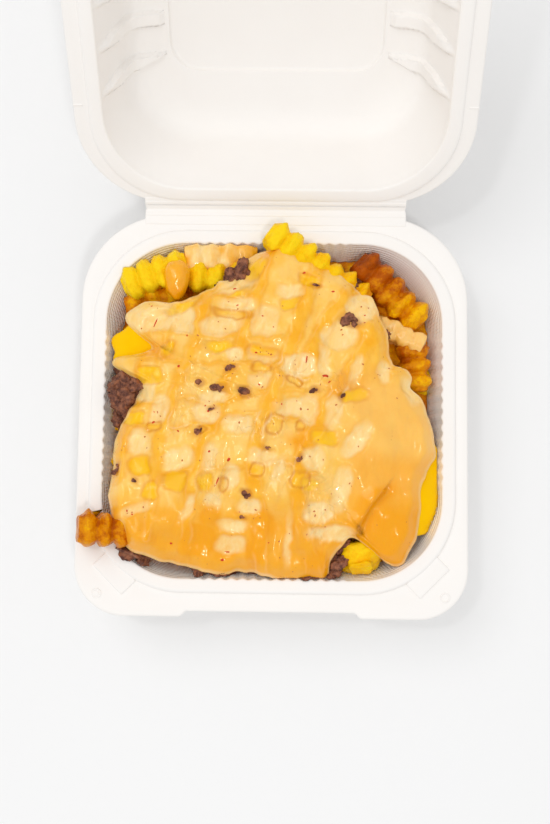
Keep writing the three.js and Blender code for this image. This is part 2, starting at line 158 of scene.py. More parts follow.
# Where a layer's edge runs out or draws back: at what angle, how wide and how far
BEEF_LOBES = [
    (174, 9, 8.5), (218, 14, -20), (257, 6, 6.5), (293, 5, 7.5), (106, 8, 9), (62, 12, 4.5), (22, 9, 4),
]
CHEESE_LOBES = [(157, 7, 12), (333, 15, 16), (312, 8, -6), (100, 30, -5), (218, 14, -20)]
BEEF_INSET = 3
CHEESE_INSET = 8

# Crinkle-cut fries
FRY_HALF = 5.8
CRINKLE_PITCH = 6.6
CRINKLE_DEPTH = 1.15
SQUARENESS = 4
FRY_SEGMENTS = 36
RINGS_PER_CRINKLE = 10
END_RINGS = 8

# Sauce: how its streams lean, how deep its hollows go and how softly they end there
FLOW_DEG = -17
HOLLOW_DEPTH = 1.8
HOLLOW_SOFT = 1.2

# How many crumbs lie along the beef's edge, and how many flakes are drawn
EDGE_CRUMBS = 110
FLAKE_COUNT = 110

# The photograph's camera: pitch, yaw and roll in degrees, its place, and its focal length in picture pixels
CAMERA_TURNS = (5.71, 8.20, -7.47)
CAMERA_PLACE = (7.4, -46.3, 496.8)
FOCAL_PIXELS = 1150
PICTURE_SIZE = (550, 824)
SENSOR_WIDTH = 36

# Lamps in metres and watts: name, place, aim, size and power
LAMPS = [
    ("key", (-0.5, 0.45, 1.25), (0, 0, 0.03), 0.8, 2.8),
    ("glint", (-0.25, 0.1, 1.1), (0, 0, 0.05), 0.08, 0.8),
    ("sparkle", (0.15, -0.35, 1.0), (0, 0, 0.05), 0.1, 1.5),
]
WORLD_STRENGTH = 0.745
STAGE_SIZE = 20000


def linear(colour):
    """A colour picked on screen, as the linear values that a shader takes. A node's colour stays as it is."""
    if isinstance(colour, tuple):
        levels = [level / 255 for level in colour]
        colour = (*(v / 12.92 if v <= 0.04045 else ((v + 0.055) / 1.055) ** 2.4 for v in levels), 1)
    return colour


def cos_sin(degrees):
    """Cosine and sine of an angle in degrees."""
    return math.cos(math.radians(degrees)), math.sin(math.radians(degrees))


def add_object(name, data):
    """A new object in the scene, at the origin."""
    obj = bpy.data.objects.new(name, data)
    bpy.context.collection.objects.link(obj)
    return obj


# Camera


def camera_axes():
    """Which way the camera looks, and its right and up."""
    pitch, yaw, roll = CAMERA_TURNS
    cos, sin = cos_sin(pitch)
    turn = Matrix.Rotation(math.radians(yaw), 3, "Z")
    ahead, up, right = turn @ Vector((0, sin, -cos)), turn @ Vector((0, cos, sin)), turn @ Vector((1, 0, 0))
    cos, sin = cos_sin(roll)
    return ahead, cos * right + sin * up, cos * up - sin * right


def place_camera():
    """The photograph's view: nearly straight down, from a little in front, turned slightly."""
    ahead, right, up = camera_axes()
    camera = add_object("camera", bpy.data.cameras.new("camera"))
    matrix = Matrix((right, up, -ahead)).transposed().to_4x4()
    matrix.translation = Vector(CAMERA_PLACE) * MM
    camera.matrix_world = matrix
    camera.data.sensor_width = SENSOR_WIDTH
    camera.data.lens = FOCAL_PIXELS / PICTURE_SIZE[1] * SENSOR_WIDTH
    bpy.context.scene.camera = camera


# Materials


class Value:
    """A number coming out of a node, so that shader maths reads as arithmetic."""

    def __init__(self, finish, socket):
        self.finish = finish
        self.socket = socket

    def maths(self, operation, *others):
        """What a maths node makes of this number and the others."""
        inputs = dict(enumerate([self, *others]))
        return self.finish.node("ShaderNodeMath", {"operation": operation}, inputs).out(0)

    def __add__(self, other):
        return self.maths("ADD", other)

    def __sub__(self, other):
        return self.maths("SUBTRACT", other)

    def __rsub__(self, other):
        return self * -1 + other

    def __mul__(self, other):
        return self.maths("MULTIPLY", other)

    __radd__ = __add__
    __rmul__ = __mul__

    def step(self, low, high):
        """0 up to low, 1 from high on, and smooth between."""
        inputs = {"Value": self, "From Min": low, "From Max": high}
        return self.finish.node("ShaderNodeMapRange", {"interpolation_type": "SMOOTHSTEP"}, inputs).out(0)


class Node:
    """A shader node that has been made."""

    def __init__(self, finish, made):
        self.finish = finish
        self.made = made

    def out(self, key):
        """One of the node's outputs, by name or number."""
        return Value(self.finish, self.made.outputs[key])


class Finish:
    """One procedural material: a Principled shader and the nodes that vary over the surface."""

    def __init__(self, name, **constants):
        self.material = bpy.data.materials.new(name)
        self.material.use_nodes = True
        self.tree = self.material.node_tree
        self.shader = self.tree.nodes["Principled BSDF"]
        for key, value in constants.items():
            self.shader.inputs[key.replace("_", " ")].default_value = value
        self.place = self.node("ShaderNodeTexCoord").out("Object")

    def node(self, kind, settings=None, inputs=None):
        """Makes a node: its settings first, then the values or links of its sockets."""
        made = self.tree.nodes.new(kind)
        for key, value in (settings or {}).items():
            setattr(made, key, value)
        for key, value in (inputs or {}).items():
            if isinstance(value, Value):
                self.tree.links.new(value.socket, made.inputs[key])
            else:
                made.inputs[key].default_value = value
        return Node(self, made)

    def noise(self, size, detail, roughness=0.55, distortion=0, at=None):
        """Cloudy noise from 0 to 1 whose features are about this many millimetres across."""
        inputs = {
            "Vector": at or self.place, "Scale": 1 / (size * MM), "Detail": detail,
            "Roughness": roughness, "Distortion": distortion,
        }
        return self.node("ShaderNodeTexNoise", None, inputs).out(0)

    def cells(self, size, at):
        """Distance from the nearest of many scattered points, this many millimetres apart."""
        inputs = {"Vector": at, "Scale": 1 / (size * MM)}
        return self.node("ShaderNodeTexVoronoi", None, inputs).out("Distance")

    def painted(self, *names):
        """Numbers painted on the piece's own points."""
        return [self.node("ShaderNodeAttribute", {"attribute_name": name}).out("Fac") for name in names]

    def stretched(self, along, turn_deg):
        """Places turned about the vertical and drawn out this many times along their own length."""
        inputs = {"Vector": self.place, "Rotation": (0, 0, math.radians(turn_deg)), "Scale": (1, along, 1)}
        return self.node("ShaderNodeMapping", {"vector_type": "TEXTURE"}, inputs).out(0)

    def mix(self, under, *layers):
        """A colour with others laid over it in turn, each by its strength."""
        for strength, over in layers:
            inputs = {0: strength, 6: linear(under), 7: linear(over)}
            under = self.node("ShaderNodeMix", {"data_type": "RGBA"}, inputs).out(2)
        return under

    def bump(self, height, depth, over=None):
        """Relief this many millimetres deep."""
        inputs = {"Height": height, "Distance": depth * MM, "Strength": 1.0}
        if over is not None:
            inputs["Normal"] = over
        return self.node("ShaderNodeBump", None, inputs).out(0)

    def feed(self, **sockets):
        """Links what varies to the shader, and gives the material."""
        for key, value in sockets.items():
            self.tree.links.new(value.socket, self.shader.inputs[key.replace("_", " ")])
        return self.material


def moulded_box_finish():
    """Matt white moulded sheet: painted light on the tray's shaded inner wall, and the forming screen's weave
    where it is painted, with painted shade in its grooves.
    """
    f = Finish("moulded_box", Roughness=0.5, Specular_IOR_Level=0.35)
    # The warm mask is painted light: a lighter white on the tray's inner wall below the rim, where that wall
    # lies in shade.
    warm, screen = f.painted("warm", "screen")
    wall = f.node("ShaderNodeUVMap", {"uv_map": "wall"}).out(0)
    parts = f.node("ShaderNodeSeparateXYZ", None, {0: wall})
    turns = 2 * math.pi / WEAVE_PITCH
    weave = (parts.out(0) * turns).maths("SINE") * 0.6 + (parts.out(1) * turns).maths("SINE")
    # The weave is the screen's real relief, and its grooves are also painted a darker beige, which is painted
    # shade.
    colour = f.mix((245, 241, 237), (f.noise(22, 2), (248, 245, 241)), (warm, (255, 253, 247)),
                   (weave.step(-0.2, -1.4) * screen * 0.2, (236, 214, 192)))
    relief = f.bump(weave * screen, 0.12)
    return f.feed(Base_Color=colour, Normal=f.bump(f.noise(0.7, 2), 0.02, over=relief))


def fried_potato_finish():
    """Crisp golden potato: browner where tone is painted, with painted shade in its crinkles' valleys, and a
    blistered, oily crust.
    """
    f = Finish("fried_potato", Specular_IOR_Level=0.3, Specular_Tint=(1, 0.75, 0.25, 1),
               Subsurface_Weight=0.1, Subsurface_Radius=(0.003, 0.0015, 0.0003), Subsurface_Scale=1.0)
    tone, crest = f.painted("tone", "crest")
    mottle = f.noise(5.5, 4, 0.6)
    fine = f.noise(1.3, 4, 0.6)
    # The crest term darkens the crinkles' valleys: painted shade.
    heat = tone + (mottle - 0.5) * 1.2 + (fine - 0.5) * 0.6 - (crest - 0.5) * 0.2
    colour = f.mix(
        (255, 214, 22), (heat.step(-0.15, 0.4), (251, 188, 2)), (heat.step(0.35, 0.75), (222, 136, 1)),
        (heat.step(0.7, 1.05), (180, 82, 0)), (heat.step(1.05, 1.5), (144, 60, 4)))
    relief = f.bump(f.noise(2.2, 5, 0.62), 0.7)
    return f.feed(Base_Color=colour, Roughness=mottle * 0.3 + 0.16, Normal=relief)


def beef_finish():
    """Seared minced beef: dark red-brown, with paler fat and a moist gloss."""
    f = Finish("minced_beef", Specular_IOR_Level=0.35)
    grain = f.noise(2.2, 5, 0.65)
    fat = f.noise(5.5, 3)
    colour = f.mix((86, 44, 32), (grain.step(0.35, 0.68), (166, 104, 72)),
                   (fat.step(0.56, 0.72) * 0.6, (174, 124, 96)))
    relief = f.bump(f.noise(1.2, 5, 0.7), 0.6)
    return f.feed(Base_Color=colour, Roughness=grain * 0.4 + 0.2, Normal=relief)


def cheese_finish():
    """Smooth, bright cheese sauce."""
    f = Finish("cheese_sauce", Roughness=0.3, Specular_IOR_Level=0.3, Specular_Tint=(1, 0.75, 0.1, 1),
               Subsurface_Weight=0.12, Subsurface_Radius=(0.004, 0.002, 0.0002), Subsurface_Scale=1.0)
    colour = f.mix((255, 205, 0), (f.noise(9, 2), (253, 190, 0)))
    return f.feed(Base_Color=colour, Normal=f.bump(f.noise(3, 2), 0.15))


def chilli_sauce_finish():
    """Creamy sauce: amber streams, paler between them, cheese or beef through its gaps, chilli specks,
    painted shade round its gaps, along its streams and in its fold, and painted highlights on its lip and
    along its streams.
    """
    f = Finish("chilli_sauce", Specular_IOR_Level=0.4, Specular_Tint=(1, 0.88, 0.6, 1), Coat_Roughness=0.06,
               Subsurface_Weight=0.1, Subsurface_Radius=(0.003, 0.0016, 0.0005), Subsurface_Scale=1.0)
    pale, stream, cheese, deep, blush = f.painted("pale", "stream", "cheese", "deep", "blush")
    painted_shade, stained, edge, wet, streak = f.painted("ring", "stain", "edge", "wet", "streak")
    flow = f.stretched(2.5, FLOW_DEG)
    cloud = f.noise(8, 3)
    soft = f.noise(2.6, 4, 0.6, at=flow)
    speck = (1 - f.cells(3, f.stretched(1.5, 20)).step(0.06, 0.12)) * f.noise(13, 1).step(0.49, 0.6)
    colour = f.mix(
        f.mix((252, 193, 74), (cloud.step(0.3, 0.7), (254, 205, 108))),
        (stream * (soft * 0.5 + 0.72), f.mix((248, 172, 16), (cloud.step(0.35, 0.65), (251, 185, 46)))),
        (blush * 0.6, (253, 197, 106)),
        (deep * (soft * 0.4 + 0.8), (246, 163, 2)),
        (pale * ((soft - 0.5) * 1.4 + 1), f.mix((254, 208, 122), (soft, (254, 226, 166)))),
        (cheese * (cloud * 1.2 + 0.35), (255, 197, 0)),
        # The ring mask is painted shade: darker orange lines round the sunk windows, along the streams' edges
        # and in the fold's crease.
        (painted_shade * 0.45, (214, 130, 10)),
        (stained * 0.6, (196, 112, 34)),
        (speck * 0.7, (190, 104, 46)),
        # The edge mask is a painted highlight: a paler line along the sauce's rounded lip.
        (edge * 0.5, (253, 222, 166)),
        # The streak mask paints glints: thin pale lines along the streams' edges, a painted highlight.
        (streak * 0.5, (255, 230, 178)),
    )
    folds = (f.noise(5.5, 2, 0.5, 0.8, f.stretched(1.6, FLOW_DEG)) - 0.5).maths("ABSOLUTE").step(0, 0.05)
    relief = f.bump(f.noise(3.2, 3, 0.5, at=flow) + folds * wet * 0.9, 0.14)
    return f.feed(Base_Color=colour, Roughness=cloud * 0.2 + 0.12, Coat_Weight=wet * 0.7 + 0.2, Normal=relief)


def chilli_fleck_finish():
    """Flakes from dull orange to red."""
    f = Finish("chilli_flecks", Roughness=0.35, Specular_IOR_Level=0.3)
    red, = f.painted("red")
    colour = f.mix((204, 116, 56), (red, (218, 66, 20)))
    return f.feed(Base_Color=colour, Normal=f.bump(f.noise(0.5, 2), 0.1))


def floor_finish():
    """Plain pale floor."""
    f = Finish("pale_floor", Roughness=0.8, Specular_IOR_Level=0.05)
    return f.feed(Base_Color=f.mix((243, 243, 243), (f.noise(400, 1), (244, 244, 244))))


# Building pieces


def points_of(verts):
    """The places of some vertices, one row each."""
    return np.array([vert.co for vert in verts])


def moved(verts, points):
    """Puts each vertex at its point."""
    for vert, point in zip(verts, points):
        vert.co = point


def formed(columns, rows, place, into=None):
    """A grid of columns by rows, each point moved by place(column, row), with its seam and poles closed."""
    bm = into or bmesh.new()
    made = bmesh.ops.create_grid(bm, x_segments=columns, y_segments=rows, size=0.5)["verts"]
    flat = points_of(made)
    points = place(np.rint((flat[:, 0] + 0.5) * columns), np.rint((flat[:, 1] + 0.5) * rows))
    moved(made, points)
    bmesh.ops.remove_doubles(bm, verts=made, dist=1e-4)
    return bm


def piece(name, bm, material, body, stands_for=(), sharp_deg=None, paint=None):
    """Makes a piece of a mesh in millimetres, riding on a body. paint gives numbers for its points."""
    points = points_of(bm.verts)
    bmesh.ops.scale(bm, vec=(MM, MM, MM), verts=bm.verts)
    mesh = bpy.data.meshes.new(name)
    bm.to_mesh(mesh)
    bm.free()
    for key, values in (paint(points) if paint else {}).items():
        mesh.attributes.new(key, "FLOAT", "POINT").data.foreach_set("value", values.astype(np.float32))
    mesh.materials.append(material)
    mesh.shade_smooth()
    if sharp_deg:
        mesh.set_sharp_from_angle(angle=math.radians(sharp_deg))
    obj = add_object(name, mesh)
    if body:
        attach(obj, body)
    if stands_for:
        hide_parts(*stands_for)
    return obj


def outward(bm):
    """The mesh with its faces turned outwards."""
    bmesh.ops.recalc_face_normals(bm, faces=bm.faces)
    return bm


def smooth(t):
    """0 to 1, easing in and out."""
    t = np.clip(t, 0, 1)
    return t * t * (3 - 2 * t)


# Box


def ring(column, half, front, back, front_corner, back_corner):
    """Points, outward directions and sides round a rounded rectangle, with the same columns at any size."""
    span = SIDE_COLUMNS + CORNER_COLUMNS
    quarter = (column // span).astype(int) % 4
    step = column % span
    straight = step < SIDE_COLUMNS
    t = np.where(straight, step / SIDE_COLUMNS, (step - SIDE_COLUMNS) / CORNER_COLUMNS)
    near, far = half - front_corner, half - back_corner
    low, high = front + front_corner, back - back_corner
    start_x = np.choose(quarter, [half, far, -half, -near])
    start_y = np.choose(quarter, [low, back, high, front])
    end_x = np.choose(quarter, [half, -far, -half, near])
    end_y = np.choose(quarter, [high, back, low, front])
    corner = np.choose(quarter, [back_corner, back_corner, front_corner, front_corner])
    middle_x = np.choose(quarter, [far, -far, -near, near])
    middle_y = np.choose(quarter, [high, high, low, low])
    angle = (quarter + np.where(straight, 0, t)) * np.pi / 2
    out_x, out_y = np.cos(angle), np.sin(angle)
    x = np.where(straight, start_x + (end_x - start_x) * t, middle_x + corner * out_x)
    y = np.where(straight, start_y + (end_y - start_y) * t, middle_y + corner * out_y)
    return x, y, out_x, out_y, np.where(straight, quarter, -1)


def outline(half, front, back, front_corner, back_corner, z, **marks):
    """One row of a profile: a rounded rectangle at a height, and marks for what the wall carries there."""
    return dict(
        marks, half=half, front=front, back=back, front_corner=front_corner, back_corner=back_corner, z=z)


def square(half, corner, z, **marks):
    """One row of the tray's wall, centred on the tray."""
    return outline(half, -half, half, corner, corner, z, **marks)


def arc(steps, first_deg, last_deg):
    """Cosine and sine pairs along an arc, for rounded edges."""
    return [cos_sin(first_deg + (last_deg - first_deg) * step / steps) for step in range(steps + 1)]


def tray_profile():
    """Rows from the middle of the floor, up the wall, over the rim and flange, and down the outside."""
    fillet = FLOOR_HALF - FLOOR_FILLET
    low = SHEET + FLOOR_FILLET
    top = TRAY_HEIGHT - BEAD_HEIGHT
    groove = top - GROOVE_DEPTH
    rows = [square(0, 0, SHEET), square(20, 10, SHEET), square(44, 18, SHEET)]
    for cos, sin in arc(5, -90, -12):
        half = fillet + FLOOR_FILLET * cos
        rows.append(square(half, FLOOR_CORNER - FLOOR_HALF + half, SHEET + FLOOR_FILLET * (1 + sin)))
    for step in range(1, 15):
        share = step / 15
        z = low + (TRAY_HEIGHT - SHEET - low) * share
        half = FLOOR_HALF + (OPENING_HALF - 0.3 - FLOOR_HALF) * share
        corner = FLOOR_CORNER + (OPENING_CORNER - FLOOR_CORNER) * share
        rows.append(square(half, corner, z, flute=min(1, share * 1.6)))
    for cos, sin in arc(5, 180, 90):
        out = RIM_RADIUS + RIM_RADIUS * cos
        z = TRAY_HEIGHT - RIM_RADIUS + RIM_RADIUS * sin
        rows.append(square(OPENING_HALF + out, OPENING_CORNER + out, z, flute=-cos))
    for out, z in [*TRAY_BEAD, (5.8, groove), (6.2, groove), (6.5, top)]:
        rows.append(square(OPENING_HALF + out, OPENING_CORNER + out, z))
    rows.append(outline(FLANGE_HALF - 2.9, FLANGE_FRONT + 5.2, FLANGE_BACK - 2.9,
                        FRONT_CORNER - 3, BACK_CORNER - 3, top))
    for inset, drop in FLANGE_RIM:
        rows.append(outline(FLANGE_HALF - inset, FLANGE_FRONT + inset, FLANGE_BACK - inset,
                            FRONT_CORNER - inset, BACK_CORNER - inset, top - drop, notch=1))
    rows.append(square(OPENING_HALF + 3, OPENING_CORNER + 3, top - SHEET))
    rows.append(square(OPENING_HALF + SHEET, OPENING_CORNER + SHEET, top - SHEET - 0.8, flute=0.7))
    for step in range(1, 10):
        share = 1 - step / 10
        half = FLOOR_HALF + SHEET + (OPENING_HALF - FLOOR_HALF) * share
        corner = FLOOR_CORNER + SHEET + (OPENING_CORNER - FLOOR_CORNER) * share
        rows.append(square(half, corner, low + (top - SHEET - 1 - low) * share, flute=share))
    for cos, sin in arc(5, -12, -90):
        half = fillet + (FLOOR_FILLET + SHEET) * cos
        rows.append(square(half, FLOOR_CORNER - FLOOR_HALF + half, low * (1 + sin)))
    rows.append(square(40, 16, 0))
    return rows + [square(half, corner, FOOT_RECESS) for half, corner in ((38.5, 15), (15, 8), (0, 0))]


def notch(x):
    """How far the front edge is set back for a thumb, 0 to 1."""
    return smooth((NOTCH_HALF + NOTCH_SLANT - np.abs(x)) / NOTCH_SLANT)


def wrapped(rows, shape):
    """A closed sheet through a profile's rows. shape(x, y, at, out_x, out_y, side) adds what a ring lacks."""
    sizes = ("half", "front", "back", "front_corner", "back_corner")
    names = (*sizes, "z", "flute", "notch", "rib", "in_x", "in_z")
    values = {name: np.array([row.get(name, 0) for row in rows], float) for name in names}

    def place(column, row):
        at = {name: numbers[row.astype(int)] for name, numbers in values.items()}
        x, y, out_x, out_y, side = ring(column % BOX_COLUMNS, *(at[name] for name in sizes))
        return shape(x, y, at, out_x, out_y, side)

    return formed(BOX_COLUMNS, len(rows) - 1, place)


def tray_shape(x, y, at, out_x, out_y, side):
    """Fine upright flutes in the middle of each side, and the thumb notch."""
    along = np.where(side % 2 == 0, y, x)
    middle = np.clip((FLUTED_HALF - np.abs(along)) / 6, 0, 1) * (side >= 0)
    flute = FLUTE_DEPTH * middle * at["flute"] * np.cos(2 * np.pi * along / FLUTE_PITCH)
    y = y + NOTCH_DEPTH * at["notch"] * notch(x) * (side == 3)
    return np.column_stack([x + flute * out_x, y + flute * out_y, at["z"]])


def wall_offset(x, y, z):
    """How far outside the tray's inner wall a point is."""
    share = np.clip((z - SHEET - FLOOR_FILLET) / (TRAY_HEIGHT - SHEET - FLOOR_FILLET), 0, 1.4)
    half = FLOOR_HALF + (OPENING_HALF - FLOOR_HALF) * share
    corner = FLOOR_CORNER + (OPENING_CORNER - FLOOR_CORNER) * share
    dx = np.abs(x) - (half - corner)
    dy = np.abs(y) - (half - corner)
    return np.where((dx > 0) & (dy > 0), np.hypot(dx, dy), np.maximum(dx, dy)) - corner


def tray_paint(points):
    """Where the tray's inner wall gets painted light, a lighter white, and where it shows the weave."""
    x, y, z = points.T
    inside = (wall_offset(x, y, z) < 0.75) & (z > SHEET - 0.1)
    low = np.clip((TRAY_HEIGHT - 0.1 - z) / 1.6, 0, 1)
    middle = smooth((34 - np.minimum(np.abs(x), np.abs(y))) / 6)
    return {"warm": inside * low, "screen": inside * low * (1 - 0.5 * middle)}


def map_walls(obj):
    """Gives the tray its own map in millimetres round and up its wall, for the woven texture."""
    layer = obj.data.uv_layers.new(name="wall")
    points = np.zeros(len(obj.data.vertices) * 3)
    obj.data.vertices.foreach_get("co", points)
    points = points.reshape(-1, 3) / MM
    around = np.arctan2(points[:, 1], points[:, 0]) * OPENING_HALF
    loops = np.zeros(len(obj.data.loops), int)
    firsts, counts = np.zeros((2, len(obj.data.polygons)), int)
    obj.data.loops.foreach_get("vertex_index", loops)
    obj.data.polygons.foreach_get("loop_start", firsts)
    obj.data.polygons.foreach_get("loop_total", counts)
    whole = 2 * math.pi * OPENING_HALF
    u = around[loops]
    u -= whole * np.rint((u - np.repeat(u[firsts], counts)) / whole)
    layer.data.foreach_set("uv", np.column_stack([u, points[loops, 2]]).astype(np.float32).ravel())


def slab(bm, low, high, edge, turn=0.0, middle=(0, 0, 0)):
    """A flat block with rounded edges."""
    size = [b - a for a, b in zip(low, high)]
    centre = [(a + b) / 2 for a, b in zip(low, high)]
    matrix = Matrix.Translation(middle) @ Matrix.Rotation(turn, 4, "Z") @ Matrix.Translation(centre)
    verts = bmesh.ops.create_cube(bm, size=1, matrix=matrix @ Matrix.Diagonal((*size, 1)))["verts"]
    edges = {e for v in verts for e in v.link_edges}
    bmesh.ops.bevel(bm, geom=list(edges), offset=edge, segments=4, profile=0.5, affect="EDGES", material=-1)


def small_ring(bm, x, y, z, radius, wire):
    """A thin raised ring moulded into the flange."""
    stand = Matrix.Translation((x + radius, y, z)) @ Matrix.Rotation(math.pi / 2, 4, "X")
    made = bmesh.ops.create_circle(bm, segments=10, radius=wire, matrix=stand)
    edges = list({e for v in made["verts"] for e in v.link_edges})
    bmesh.ops.spin(bm, geom=made["verts"] + edges, cent=(x, y, z), axis=(0, 0, 1), angle=2 * math.pi,
                   steps=28, use_merge=True)


def hinge_strips(bm, face, top, strips):
    """Low flat strips along the fold: their near and far edges and their height. face gives y for an edge."""
    for near, far, high in strips:
        ends = sorted((face(near), face(far)))
        slab(bm, (-HINGE_HALF, ends[0], top - 1.1), (HINGE_HALF, ends[1], top + high), 0.3)


def make_tray(finish):
    """The tray's shell, with the pads, rings and button on its flange and the strips along the fold."""
    bm = wrapped(tray_profile(), tray_shape)
    top = TRAY_HEIGHT - BEAD_HEIGHT
    ring_x, ring_y = FLANGE_RING
    for side in (-1, 1):
        across, down = ((PAD_REACH + slide) * math.sqrt(0.5) for slide in (-PAD_SLIDE, PAD_SLIDE))
        slab(bm, (-PAD_LENGTH / 2, -PAD_WIDTH / 2, -0.8), (PAD_LENGTH / 2, PAD_WIDTH / 2, 0.75), 0.6,
             side * math.pi / 4, (side * across, -down, top))
        small_ring(bm, side * ring_x, ring_y, top, 1.7, 0.35)
    button = Matrix.Translation((-ring_x, ring_y, top - 0.2)) @ Matrix.Diagonal((1.6, 1.6, 0.7, 1))
    bmesh.ops.create_uvsphere(bm, u_segments=24, v_segments=12, radius=1, matrix=button)
    hinge_strips(bm, lambda far: HINGE_Y - far, top, [(0.15, 6.2, 0.3), (1.0, 2.7, 0.5)])
    tray = piece("tray_shell", outward(bm), finish, "tray", ["box_tray"], SHARP_DEG,
                 tray_paint)
    map_walls(tray)


def lid_row(inset, z, grow=0, **marks):
    """One row of the lid's wall, this far in from its opening, and grown outwards for the outside."""
    half_x, half_y = LID_OPENING_HALF_X - inset + grow, LID_OPENING_HALF_Y - inset + grow
    corner = LID_OPENING_CORNER - CORNER_SHRINK * inset + grow
    return outline(half_x, HINGE_Y - half_y, HINGE_Y + half_y, corner, corner, z, **marks)


def panel_row(shrink, z, corner=None):
    """One row of the sunk panel in the lid's roof."""
    half_y = PANEL_HALF_Y - shrink
    corner = corner or PANEL_CORNER - shrink
    return outline(PANEL_HALF_X - shrink, HINGE_Y - half_y, HINGE_Y + half_y, corner, corner, z)


def pleated(inset, z):
    """How much of the pleats' height the lid's wall has at a point, from 0 to 1."""
    return smooth((-z - 1.6) / 9) * smooth((ROOF_INSET - 0.2 - inset) / 0.8)


def lid_wall():
    """Points down the lid's inner wall and over its shoulder to the roof, each with its inward direction."""
    shoulder = geometry.interpolate_bezier(*(Vector(point) for point in LID_SHOULDER), 13)
    path = [Vector((6.3 * t / 9, -1.4 - 25.6 * t / 9, 0)) for t in range(9)] + list(shoulder)
    for before, point, after in zip([path[0], *path], path, [*path[1:], path[-1]]):
        along = (after - before).normalized()
        yield point.x, point.y, -along.y, along.x


def lid_profile():
    """Rows from the middle of the roof panel, down to the rim and flange, and back over the outside."""
    sunk = -LID_DEPTH - PANEL_STEP
    top = -BEAD_HEIGHT
    wall = list(lid_wall())
    rows = [outline(0, HINGE_Y, HINGE_Y, 0, 0, sunk), panel_row(20, sunk, 4)]
    rows += [panel_row(shrink, sunk + rise) for shrink, rise in PANEL_EDGE]
    for inset, z, in_x, in_z in reversed(wall):
        rows.append(lid_row(inset, z, rib=pleated(inset, z), in_x=in_x, in_z=in_z))
    for cos, sin in arc(4, 170, 90):
        rows.append(lid_row(-RIM_RADIUS - RIM_RADIUS * cos, -1.3 + RIM_RADIUS * sin))
    rows += [lid_row(-out, z) for out, z in LID_BEAD]
    rows.append(outline(FLANGE_HALF - 2.9, HINGE_Y - FLANGE_BACK + 0.55, HINGE_Y - FLANGE_FRONT - 5.2,
                        BACK_CORNER - 3, FRONT_CORNER - 3, top))
    for inset, drop in FLANGE_RIM:
        front, back = HINGE_Y - FLANGE_BACK + 0.2 * inset, HINGE_Y - FLANGE_FRONT - inset
        rows.append(outline(FLANGE_HALF - inset, front, back, BACK_CORNER - inset, FRONT_CORNER - inset,
                            top - drop, notch=1))
    rows.append(lid_row(-3, top - SHEET))
    for inset, z, in_x, in_z in wall[2:]:
        rows.append(lid_row(inset, z - SHEET * in_z, SHEET * in_x, in_x=in_x, in_z=in_z,
                            rib=0.85 * pleated(inset, z)))
    for shrink, z in ((-1.2, -LID_DEPTH - SHEET), (0, sunk - 0.3), (0.9, sunk - SHEET)):
        rows.append(panel_row(shrink, z))
    return rows + [panel_row(20, sunk - SHEET, 4), outline(0, HINGE_Y, HINGE_Y, 0, 0, sunk - SHEET)]


def rib_shape(along, depth):
    """The pleats pressed into the lid's side walls: pointed at the rim, and wider and flatter further in."""
    step = np.round((along - HINGE_Y) / RIB_PITCH)
    step = np.clip(step, -(RIBS_PER_SIDE - 1) / 2, (RIBS_PER_SIDE - 1) / 2)
    off = np.abs(along - HINGE_Y - step * RIB_PITCH)
    wide = 1.0 + 2.2 * smooth(depth / 20)
    return smooth((wide - off) / 0.9)


def lid_shape(x, y, at, out_x, _, side):
    """Pleats on the lid's two side walls, and the thumb notch."""
    crest = RIB_HEIGHT * rib_shape(y, -at["z"]) * at["rib"] * (side >= 0) * (side % 2 == 0)
    y = y - NOTCH_DEPTH * at["notch"] * notch(x) * (side == 1)
    return np.column_stack([x - crest * at["in_x"] * out_x, y, at["z"] + crest * at["in_z"]])


def make_lid(finish):
    """The lid's shell, with its strips, swung open to where it rests."""
    bm = wrapped(lid_profile(), lid_shape)
    for side in (-1, 1):
        slab(bm, (side * 75.9 - 1.9, 43.6, -1.8), (side * 75.9 + 1.9, 44.3, -1.15), 0.2)
    hinge_strips(bm, lambda far: far, -BEAD_HEIGHT, [(0.15, 4.2, 0.3), (1.3, 2.8, 0.5)])
    swing = (Matrix.Translation((0, HINGE_Y, TRAY_HEIGHT))
             @ Matrix.Rotation(math.radians(LID_OPEN_DEG), 4, "X"))
    bmesh.ops.transform(bm, matrix=swing, verts=bm.verts)
    piece("lid_shell", outward(bm), finish, "lid", ["box_lid"], SHARP_DEG)


def make_hinge_film(finish):
    """The thin living hinge that bends between tray and lid."""
    cos, sin = cos_sin(LID_OPEN_DEG)
    columns, rows = 40, 12
    near, far = 1.4, 1.6

    def place(column, row):
        across = (row / rows) * (near + far) - near
        y = HINGE_Y + np.where(across < 0, across, across * cos)
        z = TRAY_HEIGHT - 0.85 + np.where(across < 0, 0, across * sin)
        return np.column_stack([(column / columns - 0.5) * 2 * (HINGE_HALF - 0.4), y, z])

    bm = formed(columns, rows, place)
    bmesh.ops.solidify(bm, geom=bm.faces, thickness=0.3)
    film = piece("hinge_film", outward(bm), finish, None, (), SHARP_DEG)
    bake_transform(film, "tray", "lid", start=(0, (HINGE_Y - 0.5) * MM, TRAY_HEIGHT * MM),
             end=(0, (HINGE_Y + 0.5) * MM, TRAY_HEIGHT * MM))


# Heap of food


def heap_top(x, y):
    """The heap's smooth top, as in the part's source."""
    away = (np.abs(x / HEAP_HALF) ** 4 + np.abs(y / HEAP_HALF) ** 4) ** 0.25
    turn = 2 * np.pi / LUMP_PITCH
    lump = np.sin(turn * x + 1) * np.cos(turn * y + 0.4) + 0.5 * np.sin(turn * (x + y) * 1.4)
    humps = sum(high * np.exp(-((x - at_x) / wide) ** 2 - ((y - at_y) / wide) ** 2)
                for at_x, at_y, wide, high in HUMPS)
    return BRIM_Z + (CROWN_Z - BRIM_Z) * (1 - away ** 2.4) + LUMP_HEIGHT * lump + humps


